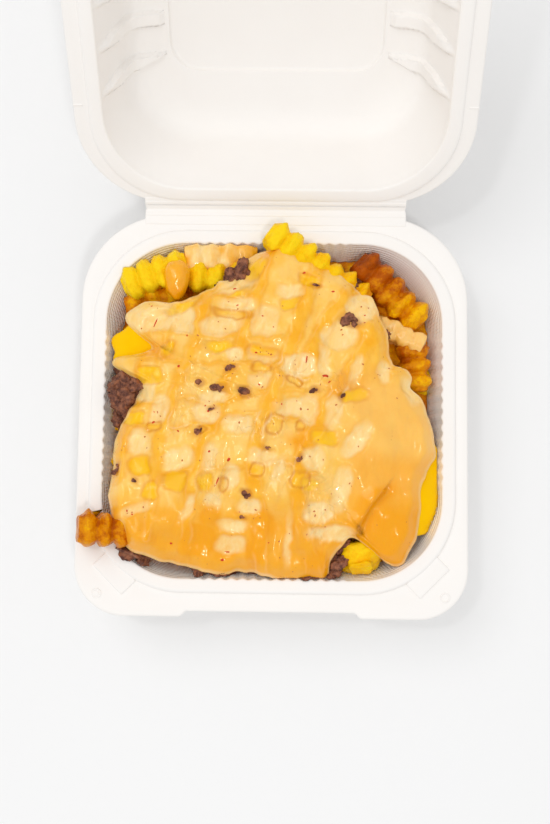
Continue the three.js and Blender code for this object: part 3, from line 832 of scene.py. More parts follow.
def on_heap(u, v):
    """Where on the heap's top a point of the picture lies, given in pixels."""
    ahead, right, up = (np.array(axis) for axis in camera_axes())
    ray = FOCAL_PIXELS * ahead + (u - PICTURE_SIZE[0] / 2) * right - (v - PICTURE_SIZE[1] / 2) * up
    place = np.array(CAMERA_PLACE)
    z = CROWN_Z
    for _ in range(40):
        point = place + ray * (z - place[2]) / ray[2]
        z = (z + heap_top(point[0], point[1])) / 2
    return point[:2]


def ovals_on_heap(seen):
    """Ovals on the heap to a tenth of a millimetre, from ovals seen in the picture, given in pixels."""
    rows = []
    for u, v, long_half, short_half, turn in seen:
        middle = on_heap(u, v)
        dx, dy = on_heap(u + 1, v) - middle
        pixel = math.hypot(dx, dy)
        sizes = [round(float(size), 1) for size in (*middle, long_half * pixel, short_half * pixel)]
        rows.append((*sizes, round(turn + math.degrees(math.atan2(dy, dx)))))
    return rows


def reach_at(rows, degrees):
    """The reach of a puddle's edge at an angle, smoothly through its rows."""
    angles = np.array([a for a, _ in rows], float)
    reaches = np.array([r for _, r in rows], float)
    angles = np.concatenate([angles[-2:] - 360, angles, angles[:2] + 360])
    reaches = np.concatenate([reaches[-2:], reaches, reaches[:2]])
    turned = degrees % 360
    i = np.clip(np.searchsorted(angles, turned, side="right") - 1, 1, len(angles) - 3)
    span = angles[i + 1] - angles[i]
    t = (turned - angles[i]) / span
    slope_in = (reaches[i + 1] - reaches[i - 1]) / (angles[i + 1] - angles[i - 1]) * span
    slope_out = (reaches[i + 2] - reaches[i]) / (angles[i + 2] - angles[i]) * span
    return (reaches[i] * (1 + 2 * t) * (1 - t) ** 2 + slope_in * t * (1 - t) ** 2
            + reaches[i + 1] * t * t * (3 - 2 * t) + slope_out * t * t * (t - 1))


def with_lobes(degrees, inset, lobes):
    """The edge of a layer under the sauce: set back a little, and further out or in where it has lobes."""
    reach = reach_at(SAUCE_REACH, degrees) - inset
    for at, wide, out in lobes:
        off = (degrees - at + 540) % 360 - 180
        reach = reach + (out + (inset if out > 0 else 0)) * np.exp(-(off / wide) ** 2)
    return reach


def waved(degrees, size_deg, depth, seed):
    """A little wander round an edge, the same after a full turn."""
    circle = 57.3 / size_deg
    angles = np.radians(np.atleast_1d(degrees))
    places = zip(circle * np.cos(angles), circle * np.sin(angles))
    return depth * np.array([noise.noise(Vector((x, y, seed))) for x, y in places])


def kept_in_tray(points):
    """Pulls what lies below the rim inside the tray's wall."""
    x, y, z = points.T
    over = wall_offset(x, y, z) + CLEAR
    pull = np.maximum(over, 0) * np.clip((TRAY_HEIGHT + 1 - z) / 0.8, 0, 1)
    inward = 1 - 1.15 * pull / np.maximum(np.hypot(x, y), 1e-6)
    return np.column_stack([x * inward, y * inward, np.maximum(z, SHEET + CLEAR)])


def roughened(points, size, depth, seed, octaves=3):
    """Noise for many points, from -depth to depth."""
    shift = Vector((seed * 17.3, seed * 5.1, seed * 9.7))
    values = [noise.fractal(Vector(p) / size + shift, 1.0, 2.0, octaves) for p in points]
    return depth * np.array(values)


def below_top(depth):
    """A surface this far under the heap's top."""
    return lambda x, y: heap_top(x, y) - depth


def layer_form(cells, lip_rows, reach, top, low, lip):
    """A puddle of even cells: its top, a round lip at its edge, and its underside."""

    def over(column, row):
        u, v = 2 * column / cells - 1, 2 * row / cells - 1
        wide = np.abs(u) > np.abs(v)
        share = np.where(wide, u, v)
        with np.errstate(divide="ignore", invalid="ignore"):
            turn = np.where(wide, np.pi / 4 * v / u, np.pi / 2 - np.pi / 4 * u / v)
        turn = np.where(share == 0, 0, turn)
        angle = np.arctan2(share * np.sin(turn), share * np.cos(turn))
        out = np.abs(share) * (reach(np.degrees(angle)) - lip)
        x, y = out * np.cos(angle), out * np.sin(angle)
        return kept_in_tray(np.column_stack([x, y, top(x, y)]))

    round_steps = 4 * cells
    under = 4

    def beneath(column, row):
        angle = np.radians((column % round_steps) / round_steps * 360)
        edge = reach(np.degrees(angle)) - lip
        turn = np.clip(row / lip_rows, 0, 1) * np.pi
        back = np.clip((row - lip_rows) / under, 0, 1)
        out = np.where(back > 0, edge * (1 - back), edge + lip * np.sin(turn))
        x, y = out * np.cos(angle), out * np.sin(angle)
        edge_x, edge_y = edge * np.cos(angle), edge * np.sin(angle)
        high, floor = top(edge_x, edge_y), low(edge_x, edge_y)
        within_edge = 1 - 1 / edge
        slope = high - top(edge_x * within_edge, edge_y * within_edge)
        lean = np.clip(slope, -1.2, 0.3) * lip * np.sin(turn) * (1 + np.cos(turn)) / 2
        z = np.where(back > 0, low(x, y), (high + floor) / 2 + (high - floor) / 2 * np.cos(turn) + lean)
        return kept_in_tray(np.column_stack([x, y, z]))

    bm = formed(cells, cells, over)
    formed(round_steps, lip_rows + under, beneath, bm)
    bmesh.ops.remove_doubles(bm, verts=bm.verts, dist=2e-3)
    return bm


def number_layers(bm, names):
    """Numbers kept on the points of a mesh that is being built."""
    layers = bm.verts.layers.float
    for name in names:
        if name not in layers:
            layers.new(name)
    return [layers[name] for name in names]


def crinkle_fry(bm, start, end, size, tone, seed, depth=1, turns=None, rough=1):
    """One crinkle-cut fry: a sphere drawn out into a square bar that swells and narrows in turn."""
    start, end = Vector(start), Vector(end)
    along = end - start
    length = along.length
    turns = turns or max(2, round(length / CRINKLE_PITCH))
    rings = RINGS_PER_CRINKLE * turns + END_RINGS
    tone_layer, crest_layer = number_layers(bm, ["tone", "crest"])
    verts = bmesh.ops.create_uvsphere(bm, u_segments=FRY_SEGMENTS, v_segments=rings, radius=1)["verts"]
    unit = points_of(verts)
    lat = np.arcsin(np.clip(unit[:, 2], -1, 1)) / (np.pi / 2)
    cap = 1 - (END_RINGS - 1) / rings
    inner = np.clip(lat / cap, -1, 1)
    outer = np.clip((np.abs(lat) - cap) / (1 - cap), 0, 1)
    turn = np.arctan2(unit[:, 1], unit[:, 0])
    cross = (np.abs(np.cos(turn)) ** SQUARENESS + np.abs(np.sin(turn)) ** SQUARENESS) ** (-1 / SQUARENESS)
    uneven = unit * np.array([1, 1, 0]) * 0.8 + np.outer(inner * length, [0, 0, 0.12])
    phase = np.pi * turns * (inner + 1) + roughened(uneven, 1, 1.3, seed + 20, 2) * (1 - inner ** 4)
    wave = 2 * np.abs(np.sin(phase / 2)) ** 1.2 - 1
    swell = depth * (1 + roughened(uneven, 0.7, 0.8, seed + 30, 2))
    radius = size * (FRY_HALF + CRINKLE_DEPTH * swell * wave) * cross * (1 - outer ** 3.2) ** (1 / 2.2)
    side = Vector((-along.y, along.x, 0)).normalized()
    up = along.cross(side).normalized() * -1
    travel = inner * length / 2 + np.sign(lat) * size * (1 - (1 - outer) ** 2)
    heading = np.array(along.normalized())
    middle = np.array((start + end) / 2)
    points = (middle + np.outer(travel, heading) + np.outer(radius * np.cos(turn), side)
              + np.outer(radius * np.sin(turn), up))
    crags = roughened(points, 7, 0.9, seed + 9, 2) + roughened(points, 3, 0.6, seed)
    crags += roughened(points, 1.2, 0.2, seed + 3)
    out = points - middle - np.outer(inner * length / 2, heading)
    out /= np.maximum(np.linalg.norm(out, axis=1), 1e-6)[:, None]
    moved(verts, kept_in_tray(points + out * (crags * rough)[:, None]))
    tones = tone[0] + (tone[1] - tone[0]) * (inner + 1) / 2
    crests = (wave + 1) / 2 * min(1, depth)
    for vert, brown, high in zip(verts, tones, crests):
        vert[tone_layer] = brown
        vert[crest_layer] = high


# The fries that show: the middle of each end, the width against a full one, and how brown each end is
SHOWN_FRIES = [
    ((-2, 70, 47), (36, 44, 39), 0.92, (-0.1, 0.55)),
    ((34.5, 61, 35), (58.5, 36, 34), 1.1, (1.35, 0.5)),
    ((55.5, 28, 36), (57.5, 9, 35), 0.95, (1.05, 0.6)),
    ((60, -4, 27), (61, -27, 28), 0.8, (0.75, 0.6)),
    ((-44, -48.5, 38.5), (-74.5, -48.5, 47.8), 0.98, (1.0, 0.75)),
    ((-60.5, 50, 36), (-36, 59, 39), 1.0, (-0.05, 0.05)),
    ((-34, 53.5, 36), (-12, 52, 37), 1.0, (0.0, 0.35)),
    ((-60, 42, 32), (-38, 47, 33), 0.9, (0.75, 0.4)),
    ((-59, 14, 28), (-60, -8, 29), 0.85, (0.1, 0.3)),
    ((-60, -17, 29), (-59, -40, 28), 0.9, (0.4, 0.5)),
]
# The fry standing on end at the front, whose two swells make a star from above
STAR_FRY = ((33.5, -46, 27), (35.2, -62.3, 39.5), 1.07, (-0.05, 0.12))
# Fries under sauce: both ends, the width, how pale the sauce is, and how much the crinkles show
COATED_FRIES = [
    ((41, 35, 38), (59.5, 26.8, 38.5), 0.714, 0.4, 0.4),
    ((-36, 61.5, 37), (-8, 62.5, 35), 0.8925, 0.9, 0.5),
]
# The fries along the wall, as in the part's source: a least value and a spread for each measure
FILLER = {"count": 15, "seed": 20, "reach": 52, "reach_spread": 5, "half": 12, "half_spread": 7, "z": 21,
          "z_spread": 5, "swing": 1.2, "rise": 2, "size": 0.9, "size_spread": 0.15}


def seeded(seed):
    """The same run of numbers as the part's source draws."""
    state = seed
    while True:
        state = (state * 1664525 + 1013904223) % 4294967296
        yield state / 4294967296


def filler_fries(bm):
    """The fries along the wall, browner at the back right."""
    draw = seeded(FILLER["seed"])

    def drawn(name):
        return FILLER[name] + FILLER[name + "_spread"] * next(draw)

    for i in range(FILLER["count"]):
        angle = 2 * math.pi * (i + next(draw)) / FILLER["count"]
        turn = angle + math.pi / 2 + FILLER["swing"] * (next(draw) - 0.5)
        reach, half, z = drawn("reach"), drawn("half"), drawn("z")
        ends = [
            (reach * math.cos(angle) + sign * half * math.cos(turn),
             reach * math.sin(angle) + sign * half * math.sin(turn),
             z + sign * FILLER["rise"] * (next(draw) - 0.5))
            for sign in (-1, 1)
        ]
        size = drawn("size")
        browner = 0.6 if 0.2 < angle < 1.4 else 0
        tone = (0.3 + 0.08 * (i % 4) + browner, 0.2 + 0.1 * (i % 5) + browner)
        crinkle_fry(bm, *ends, size, tone, seed=40 + i)


def make_fries(finish):
    """The fries that show, the ones at the wall, and the rough core under everything."""
    bm = bmesh.new()
    for number, fry in enumerate(SHOWN_FRIES):
        crinkle_fry(bm, *fry, seed=number)
    crinkle_fry(bm, *STAR_FRY, seed=30, depth=2.1, turns=2)
    piece("fries_on_show", outward(bm), finish, "tray", ["fries"])
    bm = bmesh.new()
    filler_fries(bm)
    piece("fries_at_the_wall", outward(bm), finish, "tray", ["fries"])
    core = layer_form(
        cells=90, lip_rows=6, lip=2, reach=lambda degrees: np.full_like(degrees, CORE_REACH),
        top=below_top(CORE_DEPTH), low=lambda x, _: np.full_like(x, SHEET + CLEAR))
    lumps = roughened(points_of(core.verts), 9, 1.6, 5)
    for vert, lump in zip(core.verts, lumps):
        vert.co.z += lump if vert.co.z > 6 else 0
    piece("potato_core", outward(core), finish, "tray", ["fries"],
          paint=lambda p: {"tone": np.full(len(p), 0.65), "crest": np.zeros(len(p))})


def sauce_drop(bm):
    """The thick drop of sauce that hangs over the fries at the back left."""
    verts = bmesh.ops.create_uvsphere(bm, u_segments=48, v_segments=36, radius=1)["verts"]
    unit = points_of(verts)
    narrow = 0.8 + 0.2 * unit[:, 1]
    across = np.column_stack([narrow, np.ones(len(unit)), narrow])
    points = np.array([-39.2, 51, 43.6]) + np.array([6.2, 8.4, 5.8]) * unit * across
    moved(verts, points + unit * roughened(points, 6, 0.7, 3, 2)[:, None])


def make_coated_fries(finish):
    """Fries under sauce and the drop of sauce, pale where the sauce lies thin."""
    bm = bmesh.new()
    for number, (start, end, size, pale, depth) in enumerate(COATED_FRIES):
        crinkle_fry(bm, start, end, size, (pale, pale), 70 + number, depth, turns=4, rough=0.8)
    sauce_drop(bm)
    pale_layer = bm.verts.layers.float["tone"]
    pale = np.array([vert[pale_layer] for vert in bm.verts])

    def paint(points):
        x, y, _ = points.T
        right = (x > 0).astype(float)
        left = np.where(x < 0, smooth((-8 - x) / 16), 1)
        patchy = pale * left * np.clip(0.75 + roughened(points, 5, 0.9, 12, 2), 0, 1)
        low = smooth((52 - y) / 9) * (pale == 0)
        return {"pale": patchy, "stream": 1 - patchy, "deep": np.clip(0.3 * (1 - patchy) + low, 0, 1),
                "wet": 0.3 + 0.3 * right, "blush": right}

    piece("coated_fries", outward(bm), finish, "tray", ["fries"], paint=paint)


# Beef that shows past the sauce: middle, and how long, wide and high the piece is
BEEF_PIECES = [
    ((-12.5, 54.2, 47), (9, 5, 4)), ((-17, 52, 45), (6, 5, 4)), ((14, 57, 45), (6, 4, 3)),
    ((20, 54.5, 44.5), (7, 4, 3)), ((26, 51, 44), (7, 4, 3)), ((31, 47.5, 43), (6, 4, 3)),
    ((-58.5, 9, 43), (11, 6, 5)), ((-62.5, 8, 41), (6, 6, 5)), ((-56, 4.5, 43.5), (8, 9, 5)),
    ((-53, 9, 45.5), (6, 5, 4)), ((-59, 1, 42), (7, 10, 5)), ((-61, -5, 39), (6, 5, 5)),
    ((-56, -57, 40), (8, 6, 5)), ((-51, -60, 38), (6, 5, 4)), ((-28, -63, 38), (8, 4, 4)),
    ((-21, -64, 37), (7, 5, 4)), ((-17, -65, 35), (5, 4, 4)), ((15.6, -66.5, 38), (8, 4, 4)),
    ((26, -54, 40), (5, 8, 5)), ((25, -60, 39), (5, 8, 5)), ((24, -64.5, 37), (5, 5, 5)),
]
# The tables of patches are uneven ovals read off the picture, in pixels: middle, half sizes and turn
# Beef comes through
BEEF_WINDOWS = ovals_on_heap([
    (351, 321, 11, 6, -25), (245, 392, 7.2, 6.2, 0), (219, 387, 7.8, 3.9, -10), (231, 368, 6.7, 3.3, 11),
    (199, 381, 3.9, 3.1, 1), (212, 408, 4, 2, 0), (199, 430, 6, 3, 20), (118, 469, 7, 3, 70),
    (134, 481, 3, 2.5, 0), (247, 495, 6, 3.5, -15), (300, 459, 5, 3, 40), (268, 447, 4, 1.5, -10),
    (314, 390, 5, 3, -5), (343, 395, 3.5, 2.5, 40), (317, 285, 4, 2, -1), (242, 517, 3, 2, -1),
])
# The sauce lies flat and pale
PALE_PATCHES = ovals_on_heap([
    (237, 283, 20, 8, 20), (238, 304, 18, 7, 1), (150, 312, 26, 20, 10), (184, 322, 12, 14, 0),
    (222, 325, 22, 11, 10), (265, 320, 13, 16, 0), (290, 291, 12, 7, -10), (262, 355, 14, 8, -5),
    (234, 354, 8, 7, 0), (362, 309, 16, 14, 20), (340, 335, 18, 14, 20), (300, 365, 17, 11, 1),
    (325, 360, 6, 14, 0), (357, 370, 14, 5, 75), (384, 372, 6, 10, 0), (411, 390, 14, 6, 110),
    (146, 390, 11, 13, 0), (160, 409, 13, 8, 80), (206, 412, 13, 11, 0), (213, 396, 13, 7, 0),
    (260, 380, 11, 7, -1), (290, 407, 14, 9, 0), (308, 410, 15, 10, 80), (335, 412, 17, 9, 80),
    (238, 424, 14, 8, 0), (140, 442, 11, 12, 0), (178, 458, 15, 10, 20), (210, 458, 12, 6, 75),
    (262, 457, 16, 9, -5), (230, 478, 14, 8, 70), (313, 459, 11, 11, -1), (278, 472, 14, 5, 75),
    (357.5, 440, 19.3, 8.7, 50), (341, 490, 22, 9, 75), (135, 510, 16, 5, 20), (187, 508, 12, 5, 60),
    (213, 500, 7, 9, -1), (249, 506, 10, 6, -1), (233, 526, 13, 6, -1), (230, 545, 15, 10, -1),
    (117, 530, 8, 9, -1), (288, 540, 22, 3, 88), (318, 512, 14, 10, -1), (330, 533, 22, 7, -1),
])
# Cheese shows through
CHEESE_WINDOWS = ovals_on_heap([
    (290, 304, 10, 7, 1), (220, 345, 13, 6, 10), (263, 350.5, 11.8, 5, -11), (150, 375, 12, 8, 10),
    (181, 307, 14, 5, 15), (175, 480, 12, 9, 0), (140, 467, 10, 9, 0), (150, 490, 8, 8, -1),
    (134, 418, 9, 7, 1), (325, 438, 12, 8, 0), (355, 395, 13.3, 6.1, 5), (237, 294, 8, 2, 0),
    (310, 281, 10, 7, -15), (256.8, 269.3, 12, 6.5, 55), (205, 482, 6, 8, -1), (309, 484.8, 7.8, 6.7, -1),
    (168, 347.2, 6.4, 4.5, 63),
])
# Cheese shows as a thin ring
CHEESE_RINGS = ovals_on_heap([
    (262, 367, 9, 4, -8), (294, 381, 6, 4, -20), (275, 423, 7, 9, -1), (299, 426, 4, 5, -1),
    (257, 470, 6, 7, -1), (300.4, 479.7, 9.4, 7.8, -1), (155, 425, 6, 5, 1), (222, 485, 4, 7, -1),
    (232, 314, 18, 4, -5), (204, 429.2, 4.1, 3.6, 0),
])
# The sauce is thick and deeper in colour
DEEP_PATCHES = ovals_on_heap([
    (210, 515, 9, 9, -1), (198, 540, 14, 14, -1), (257, 545, 6, 22, -10), (262, 520, 7, 12, 20),
    (318, 565, 9, 12, -1), (345, 385, 20, 12, 30), (160, 350, 14, 8, 0), (380, 495, 14, 6, 20),
    (300, 440, 10, 8, 0),
])
# The sauce is wettest and wrinkled, and glints
WET_PATCHES = [
    (18.7, -36.8, 12, 7, 75), (-22.4, -28, 13, 5, 80), (-6, -9, 11, 5, 5), (3, -29, 9, 4, 72),
    (24, 9, 8, 5, 10), (-34, 0, 14, 5, 75), (7, 13, 7, 6, 0), (18, -46, 7, 6, 0),
]
# Amber streams over the sauce: half width, and points along each
STREAMS = [
    (0.9, [(-30, 44.5), (-18, 43.5), (-6, 45)]),
    (0.9, [(-46, 29), (-30, 26.5), (-14, 27.5), (-2, 26), (8, 25)]),
    (0.9, [(-46, 18), (-30, 16.5), (-12, 15.5), (2, 15.5)]),
    (0.9, [(-53, 0), (-34, 2.5), (-20, 0.4), (-4, 4.6), (12, 6)]),
    (0.9, [(-54, -8), (-36, -8.5), (-21, -5), (-6, -3.5), (14, -7)]),
    (0.9, [(-48, -27), (-30, -25), (-12, -24), (4, -22), (16, -26)]),
    (2.2, [(-52, 34), (-49.5, 22), (-53, 8), (-57, -4), (-60, -30)]),
    (1.6, [(-36, 48), (-39, 38), (-42, 26), (-45, 12)]),
    (2.5, [(-25, 52), (-29.2, 26.9), (-34.2, 14.7), (-37.9, 4.1), (-41.7, -6.5), (-44, -17.2), (-48, -52)]),
    (2.8, [(-1, 68), (-7, 42.1), (-10, 29.9), (-14.6, 17.8), (-18.6, 5.6), (-21.4, -5), (-27, -16),
           (-30, -28), (-35, -66)]),
    (3.2, [(20, 64), (11.1, 36), (7.3, 23.9), (3.4, 11.7), (-1.2, -0.4), (-4.6, -11.1), (-7.6, -21.7),
           (-5.6, -33), (-4.4, -44.5), (-3, -72)]),
    (3.4, [(40, 56), (22, 36), (18, 27), (12, 12)]),
    (3.4, [(48, 42), (31.4, 14.7), (25.4, 5.6), (18.5, -6.5), (12.5, -18), (9.5, -32.4), (11.8, -44.5),
           (19, -74)]),
]
# The line of the fold at the lower right, in pixels of the picture
FOLD = np.round([on_heap(*pixel) for pixel in ((352, 542), (360, 522), (370, 504), (382.6, 490.1))], 1)
# Flakes that show singly, with rows like those of the patches
RED_FLECKS = ovals_on_heap([
    (179, 366, 2, 1.5, 1), (153, 422, 2, 1.5, 40), (123, 429, 1.5, 1.5, 2), (229, 459, 3, 1.5, 60),
    (217, 482, 6, 0.8, 65), (307, 357, 8, 0.7, 80), (325, 376, 4, 2, 0), (333, 292, 2, 1, 0),
    (305, 272, 3, 1, 20), (227, 552, 5, 0.8, -1), (222, 560, 2, 1.5, 0), (155, 322, 6, 0.8, 70),
    (171, 543, 1.5, 1.5, -1), (172, 555, 2, 2, -1), (182, 297, 2, 1.5, -1), (235, 289, 2, 1.2, 0),
])


def pushed_about(points):
    """Places moved a little by noise, so that what is drawn over them has an uneven outline."""
    shift = Vector((1, 2, 0))
    return points[:, :2] + 1.2 * np.array([
        noise.turbulence_vector(Vector((x, y, 0)) / 5 + shift, 2, False)[:2] for x, y, _ in points])


def to_patch(bent, rows):
    """About how far each point is outside the nearest of some uneven oval patches, less than 0 inside."""
    nearest = np.full(len(bent), 1e3)
    for x, y, long_half, short_half, turn in rows:
        cos, sin = cos_sin(turn)
        dx, dy = bent[:, 0] - x, bent[:, 1] - y
        u, v = (dx * cos + dy * sin) / long_half, (dy * cos - dx * sin) / short_half
        away = (np.abs(u) ** 2.8 + np.abs(v) ** 2.8) ** (1 / 2.8)
        nearest = np.minimum(nearest, (away - 1) * min(long_half, short_half))
    return nearest


def patch_strength(bent, rows, soft, least=0.7):
    """How strongly the patches show, each with a strength of its own."""
    strengths = least + (1 - least) * (np.arange(len(rows)) * 0.618 % 1)
    return np.max([much * within(to_patch(bent, [row]), soft) for much, row in zip(strengths, rows)], axis=0)


def within(gap, soft):
    """1 well inside a patch and 0 outside it, changing over this many millimetres."""
    return smooth(0.5 - gap / soft)


def ridge(gap, at, wide):
    """1 at this distance from an edge, falling away to either side."""
    return np.exp(-((gap - at) / wide) ** 2)


def sauce_reach(degrees):
    """The sauce's edge as it shows, with its small waves."""
    return reach_at(SAUCE_EDGE, degrees) + waved(degrees, 8, 1.7, 3.3) + waved(degrees, 3.6, 0.9, 8.1)


def from_edge(points):
    """How far each point is inside the sauce's edge."""
    x, y = points[:, 0], points[:, 1]
    return sauce_reach(np.degrees(np.arctan2(y, x))) - np.hypot(x, y)


def sauce_relief(x, y):
    """Streams that lean to the right towards the back, sunk round the gaps where cheese and beef show."""
    points = np.column_stack([x, y, np.zeros(len(x))])
    bent = pushed_about(points)
    streams = 1.2 * within(to_streams(bent), 5)
    pale = patch_strength(bent, PALE_PATCHES, 3.2)
    cheese, meat, wet = (to_patch(bent, rows) for rows in (CHEESE_WINDOWS, BEEF_WINDOWS, WET_PATCHES))
    cut = to_patch(bent, CHEESE_RINGS)
    lumps = roughened(points, 15, 2.4, 6, 2) + roughened(points / np.array([1, 2, 1]), 5, 0.5, 9, 3)
    wrinkles = within(wet, 4) * roughened(points / np.array([1, 2.2, 1]), 2.6, 0.85, 13, 2)
    inset = from_edge(points)
    edge = ridge(inset, 6, 3) - 1.3 * smooth((6 - inset) / 6)
    relief = (streams + lumps + wrinkles + edge + 1.3 * fold_height(x, y) - 1.9 * pale
              - within(cheese, 2) - 0.5 * within(cut, 1.6) + 0.4 * ridge(cut, 0.9, 0.6)
              - 0.5 * within(meat, 1.4) + 0.3 * ridge(meat, 1.1, 0.7))
    deep = np.minimum(relief + HOLLOW_DEPTH, 0)
    return np.maximum(relief, -HOLLOW_DEPTH) - HOLLOW_SOFT * (1 - np.exp(deep / HOLLOW_SOFT))


def to_line(x, y, rows):
    """How far each point is from a line through some others, and on which side of it."""
    nearest = np.full(len(x), 1e9)
    side = np.zeros(len(x))
    for (ax, ay), (bx, by) in zip(rows, rows[1:]):
        dx, dy = bx - ax, by - ay
        t = np.clip(((x - ax) * dx + (y - ay) * dy) / (dx * dx + dy * dy), 0, 1)
        gap = np.hypot(x - ax - t * dx, y - ay - t * dy)
        closer = gap < nearest
        nearest = np.where(closer, gap, nearest)
        side = np.where(closer, np.sign(dx * (y - ay) - dy * (x - ax)), side)
    return nearest, side


def to_streams(bent):
    """How far each point is outside the nearest stream."""
    x, y = bent.T
    return np.min([to_line(x, y, rows)[0] - half for half, rows in STREAMS], axis=0)


def fold_height(x, y):
    """The long fold where the upper flow lies over the lower right one."""
    nearest, side = to_line(x, y, FOLD)
    upper = 1.5 * ridge(nearest, 0, 4.5)
    lower = -2.1 * ridge(nearest, 0, 3.5)
    lip = ridge(nearest, 0, 1.3)
    return np.where(side > 0, upper, upper * lip + lower * (1 - lip))


def sauce_paint(points):
    """What the sauce's finish reads on each point."""
    x, y, _ = points.T
    bent = pushed_about(points)
    cheese, cut, meat = (to_patch(bent, rows) for rows in (CHEESE_WINDOWS, CHEESE_RINGS, BEEF_WINDOWS))
    crease_shade = ridge(to_line(x - 0.6, y + 0.6, FOLD)[0], 0, 1.3)
    bank = to_streams(bent)
    wet = within(to_patch(bent, WET_PATCHES), 4)
    low = 0.55 * smooth((-32 - y) / 16) + 0.45 * smooth((x - 26) / 10) * smooth((-14 - y) / 10)
    # The rims, the fold's crease and the streams' edges make the ring mask, which is painted shade.
    shaded_rims = 1.4 * ridge(cut, 0, 0.42) + 0.5 * ridge(cheese, 0.3, 0.5) + 0.4 * ridge(meat, 0.2, 0.5)
    broken = smooth(0.6 + roughened(points, 9, 1.4, 31, 2))
    return {
        "pale": patch_strength(bent, PALE_PATCHES, 1.6),
        "stream": np.maximum(within(bank, 2.2), np.maximum(low, 0.8 * smooth((x - 24) / 12))),
        "blush": smooth((x - 22) / 14) * smooth((20 - y) / 14) * smooth((y + 42) / 12),
        "cheese": np.maximum(patch_strength(bent, CHEESE_WINDOWS, 1.2, 0.8), 0.35 * within(cut, 0.8)),
        "deep": np.clip(patch_strength(bent, DEEP_PATCHES, 5) + 1.2 * low, 0, 1),
        "ring": shaded_rims + 0.25 * ridge(bank, 0, 0.5) + crease_shade,
        "stain": within(meat, 1.0),
        # Painted highlight along the sauce's lip.
        "edge": smooth((1.7 - from_edge(points)) / 1.1),
        "wet": wet,
        # Painted glints along the streams' edges, stronger where the sauce is wet.
        "streak": ridge(bank, -1.1, 0.45) * (0.25 + 0.75 * wet) * broken,
    }


def make_sauce(finish):
    """The sheet of chilli sauce on top."""
    bm = layer_form(
        cells=250, lip_rows=12, lip=2.4, reach=sauce_reach,
        top=lambda x, y: heap_top(x, y) + sauce_relief(x, y),
        low=below_top(CHEESE_DEPTH - CLEAR + HOLLOW_DEPTH))
    piece("chilli_sauce_sheet", outward(bm), finish, "tray", ["chilli_sauce"],
          paint=sauce_paint)


def make_cheese(finish):
    """The layer of cheese sauce, under the chilli sauce and over the beef."""
    bm = layer_form(
        cells=120, lip_rows=10, lip=1.6, top=below_top(CHEESE_DEPTH), low=below_top(BEEF_DEPTH),
        reach=lambda degrees: with_lobes(degrees, CHEESE_INSET, CHEESE_LOBES))
    piece("cheese_layer", outward(bm), finish, "tray", ["cheese_sauce"])


def crumb(bm, middle, size, seed, detail=3, craggy=1):
    """One crumb of mince."""
    draw = random.Random(seed)
    turn = Matrix.Rotation(draw.uniform(0, math.pi), 4, "Z")
    turn @= Matrix.Rotation(draw.uniform(-0.5, 0.5), 4, "X")
    verts = bmesh.ops.create_icosphere(bm, subdivisions=detail, radius=0.5)["verts"]
    shift = Vector((seed, 0, 0))
    for vert in verts:
        swell = 1 + 0.5 * craggy * noise.fractal(vert.co * 2.2 + shift, 1.0, 2.0, 2)
        swell += 0.35 * craggy * noise.fractal(vert.co * 6 + shift, 0.8, 2.2, 3)
        point = turn @ (Vector(a * b for a, b in zip(vert.co, size)) * swell)
        vert.co = point + Vector(middle)
    moved(verts, kept_in_tray(points_of(verts)))


def make_beef(finish):
    """The layer of beef, and crumbs: past the sauce, through its gaps and all along the layer's edge."""
    bm = layer_form(
        cells=110, lip_rows=10, lip=2.5, top=below_top(BEEF_DEPTH), low=below_top(CORE_DEPTH),
        reach=lambda degrees: with_lobes(degrees, BEEF_INSET, BEEF_LOBES[:-1]))
    rough = roughened(points_of(bm.verts), 3.4, 1.3, 2, 4)
    bm.normal_update()
    for vert, lump in zip(bm.verts, rough):
        vert.co += vert.normal * lump
    piece("beef_layer", outward(bm), finish, "tray", ["beef"])
    bm = bmesh.new()
    for number, (middle, size) in enumerate(BEEF_PIECES):
        crumb(bm, middle, [1.2 * s for s in size], 11 + number, 4)
    draw = random.Random(5)
    for number, (x, y, long_half, short_half, turn) in enumerate(BEEF_WINDOWS):
        cos, sin = cos_sin(turn)
        for part, share in enumerate((1, 0.8, 0.5)):
            along, wide = (part - 1) * long_half * 0.42, draw.uniform(-0.25, 0.25) * short_half
            at_x, at_y = np.array([x + along * cos - wide * sin]), np.array([y + along * sin + wide * cos])
            z = (heap_top(at_x, at_y) + sauce_relief(at_x, at_y))[0] - 0.2
            size = (1.6 * share * long_half * draw.uniform(0.8, 1),
                    2 * share * short_half * draw.uniform(0.7, 1), 0.9 + 0.5 * short_half)
            crumb(bm, (at_x[0], at_y[0], z), size, 51 + 3 * number + part, craggy=0.5)
    for number in range(EDGE_CRUMBS):
        degrees = number * 360 / EDGE_CRUMBS + draw.uniform(-1.5, 1.5)
        reach = with_lobes(np.array([degrees]), BEEF_INSET, BEEF_LOBES)[0] - draw.uniform(0, 2.5)
        x, y = (reach * part for part in cos_sin(degrees))
        z = heap_top(x, y) - draw.uniform(7, 13)
        size = [draw.uniform(3.5, 7) for _ in range(3)]
        if not 8 < degrees < 34:
            crumb(bm, (x, y, z), size, 111 + number)
    piece("beef_crumbs", outward(bm), finish, "tray", ["beef"])


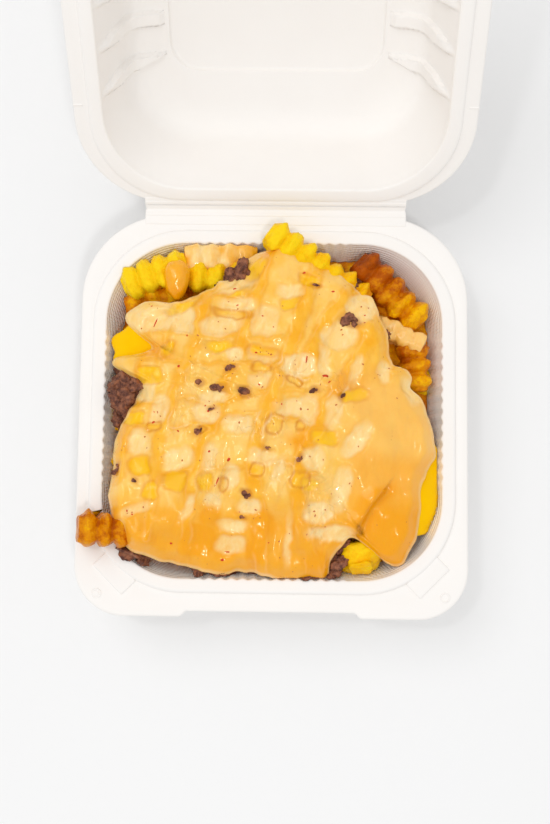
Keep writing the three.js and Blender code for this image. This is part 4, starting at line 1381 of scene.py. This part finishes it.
def make_flecks(finish):
    """Chilli flakes lying in the sauce: the ones the sauce shows singly, and small scattered ones."""
    draw = random.Random(3)
    rows = [(*row, 1) for row in RED_FLECKS]
    while len(rows) < FLAKE_COUNT:
        x, y, *_ = draw.choice(PALE_PATCHES)
        spread = 1 if draw.random() < 0.7 else 3
        size = draw.uniform(0.3, 0.7)
        rows.append((x + spread * draw.uniform(-4, 4), y + spread * draw.uniform(-3, 3), size,
                     size * draw.uniform(0.35, 0.8), draw.uniform(0, 180), draw.random() < 0.35))
    places = np.array([row[:2] for row in rows])
    bm = bmesh.new()
    red_layer, = number_layers(bm, ["red"])
    zs = heap_top(*places.T) + sauce_relief(*places.T)
    for (x, y, long_half, short_half, turn, redness), z, inset in zip(rows, zs, from_edge(places)):
        if inset <= 4:
            continue
        matrix = (Matrix.Translation((x, y, z + 0.02)) @ Matrix.Rotation(math.radians(turn), 4, "Z")
                  @ Matrix.Diagonal((long_half, short_half, 0.16, 1)))
        for vert in bmesh.ops.create_icosphere(bm, subdivisions=1, radius=1, matrix=matrix)["verts"]:
            vert[red_layer] = redness
    piece("chilli_flakes", outward(bm), finish, "tray")


# Studio


def lamp(name, place, aim, size, power):
    """A round white lamp in metres, turned to face what it is aimed at."""
    light = bpy.data.lights.new(name, "AREA")
    light.shape, light.size, light.energy = "DISK", size, power
    obj = add_object(name, light)
    obj.location = place
    obj.rotation_euler = (Vector(aim) - Vector(place)).to_track_quat("-Z", "Y").to_euler()
    obj.visible_camera = False


def make_studio():
    """A wide floor, an even white surround and the lamps."""
    bm = bmesh.new()
    bmesh.ops.create_grid(bm, x_segments=4, y_segments=4, size=STAGE_SIZE)
    floor = piece("floor", bm, floor_finish(), None)
    world = bpy.data.worlds.new("studio")
    world.use_nodes = True
    background = world.node_tree.nodes["Background"].inputs
    background["Color"].default_value = (1, 1, 1, 1)
    background["Strength"].default_value = WORLD_STRENGTH
    bpy.context.scene.world = world
    for row in LAMPS:
        lamp(*row)
    bpy.context.scene.view_settings.view_transform = "Standard"


place_camera()
box_finish = moulded_box_finish()
sauce_finish = chilli_sauce_finish()
make_tray(box_finish)
make_lid(box_finish)
make_hinge_film(box_finish)
make_fries(fried_potato_finish())
make_coated_fries(sauce_finish)
make_beef(beef_finish())
make_cheese(cheese_finish())
make_sauce(sauce_finish)
make_flecks(chilli_fleck_finish())
make_studio()
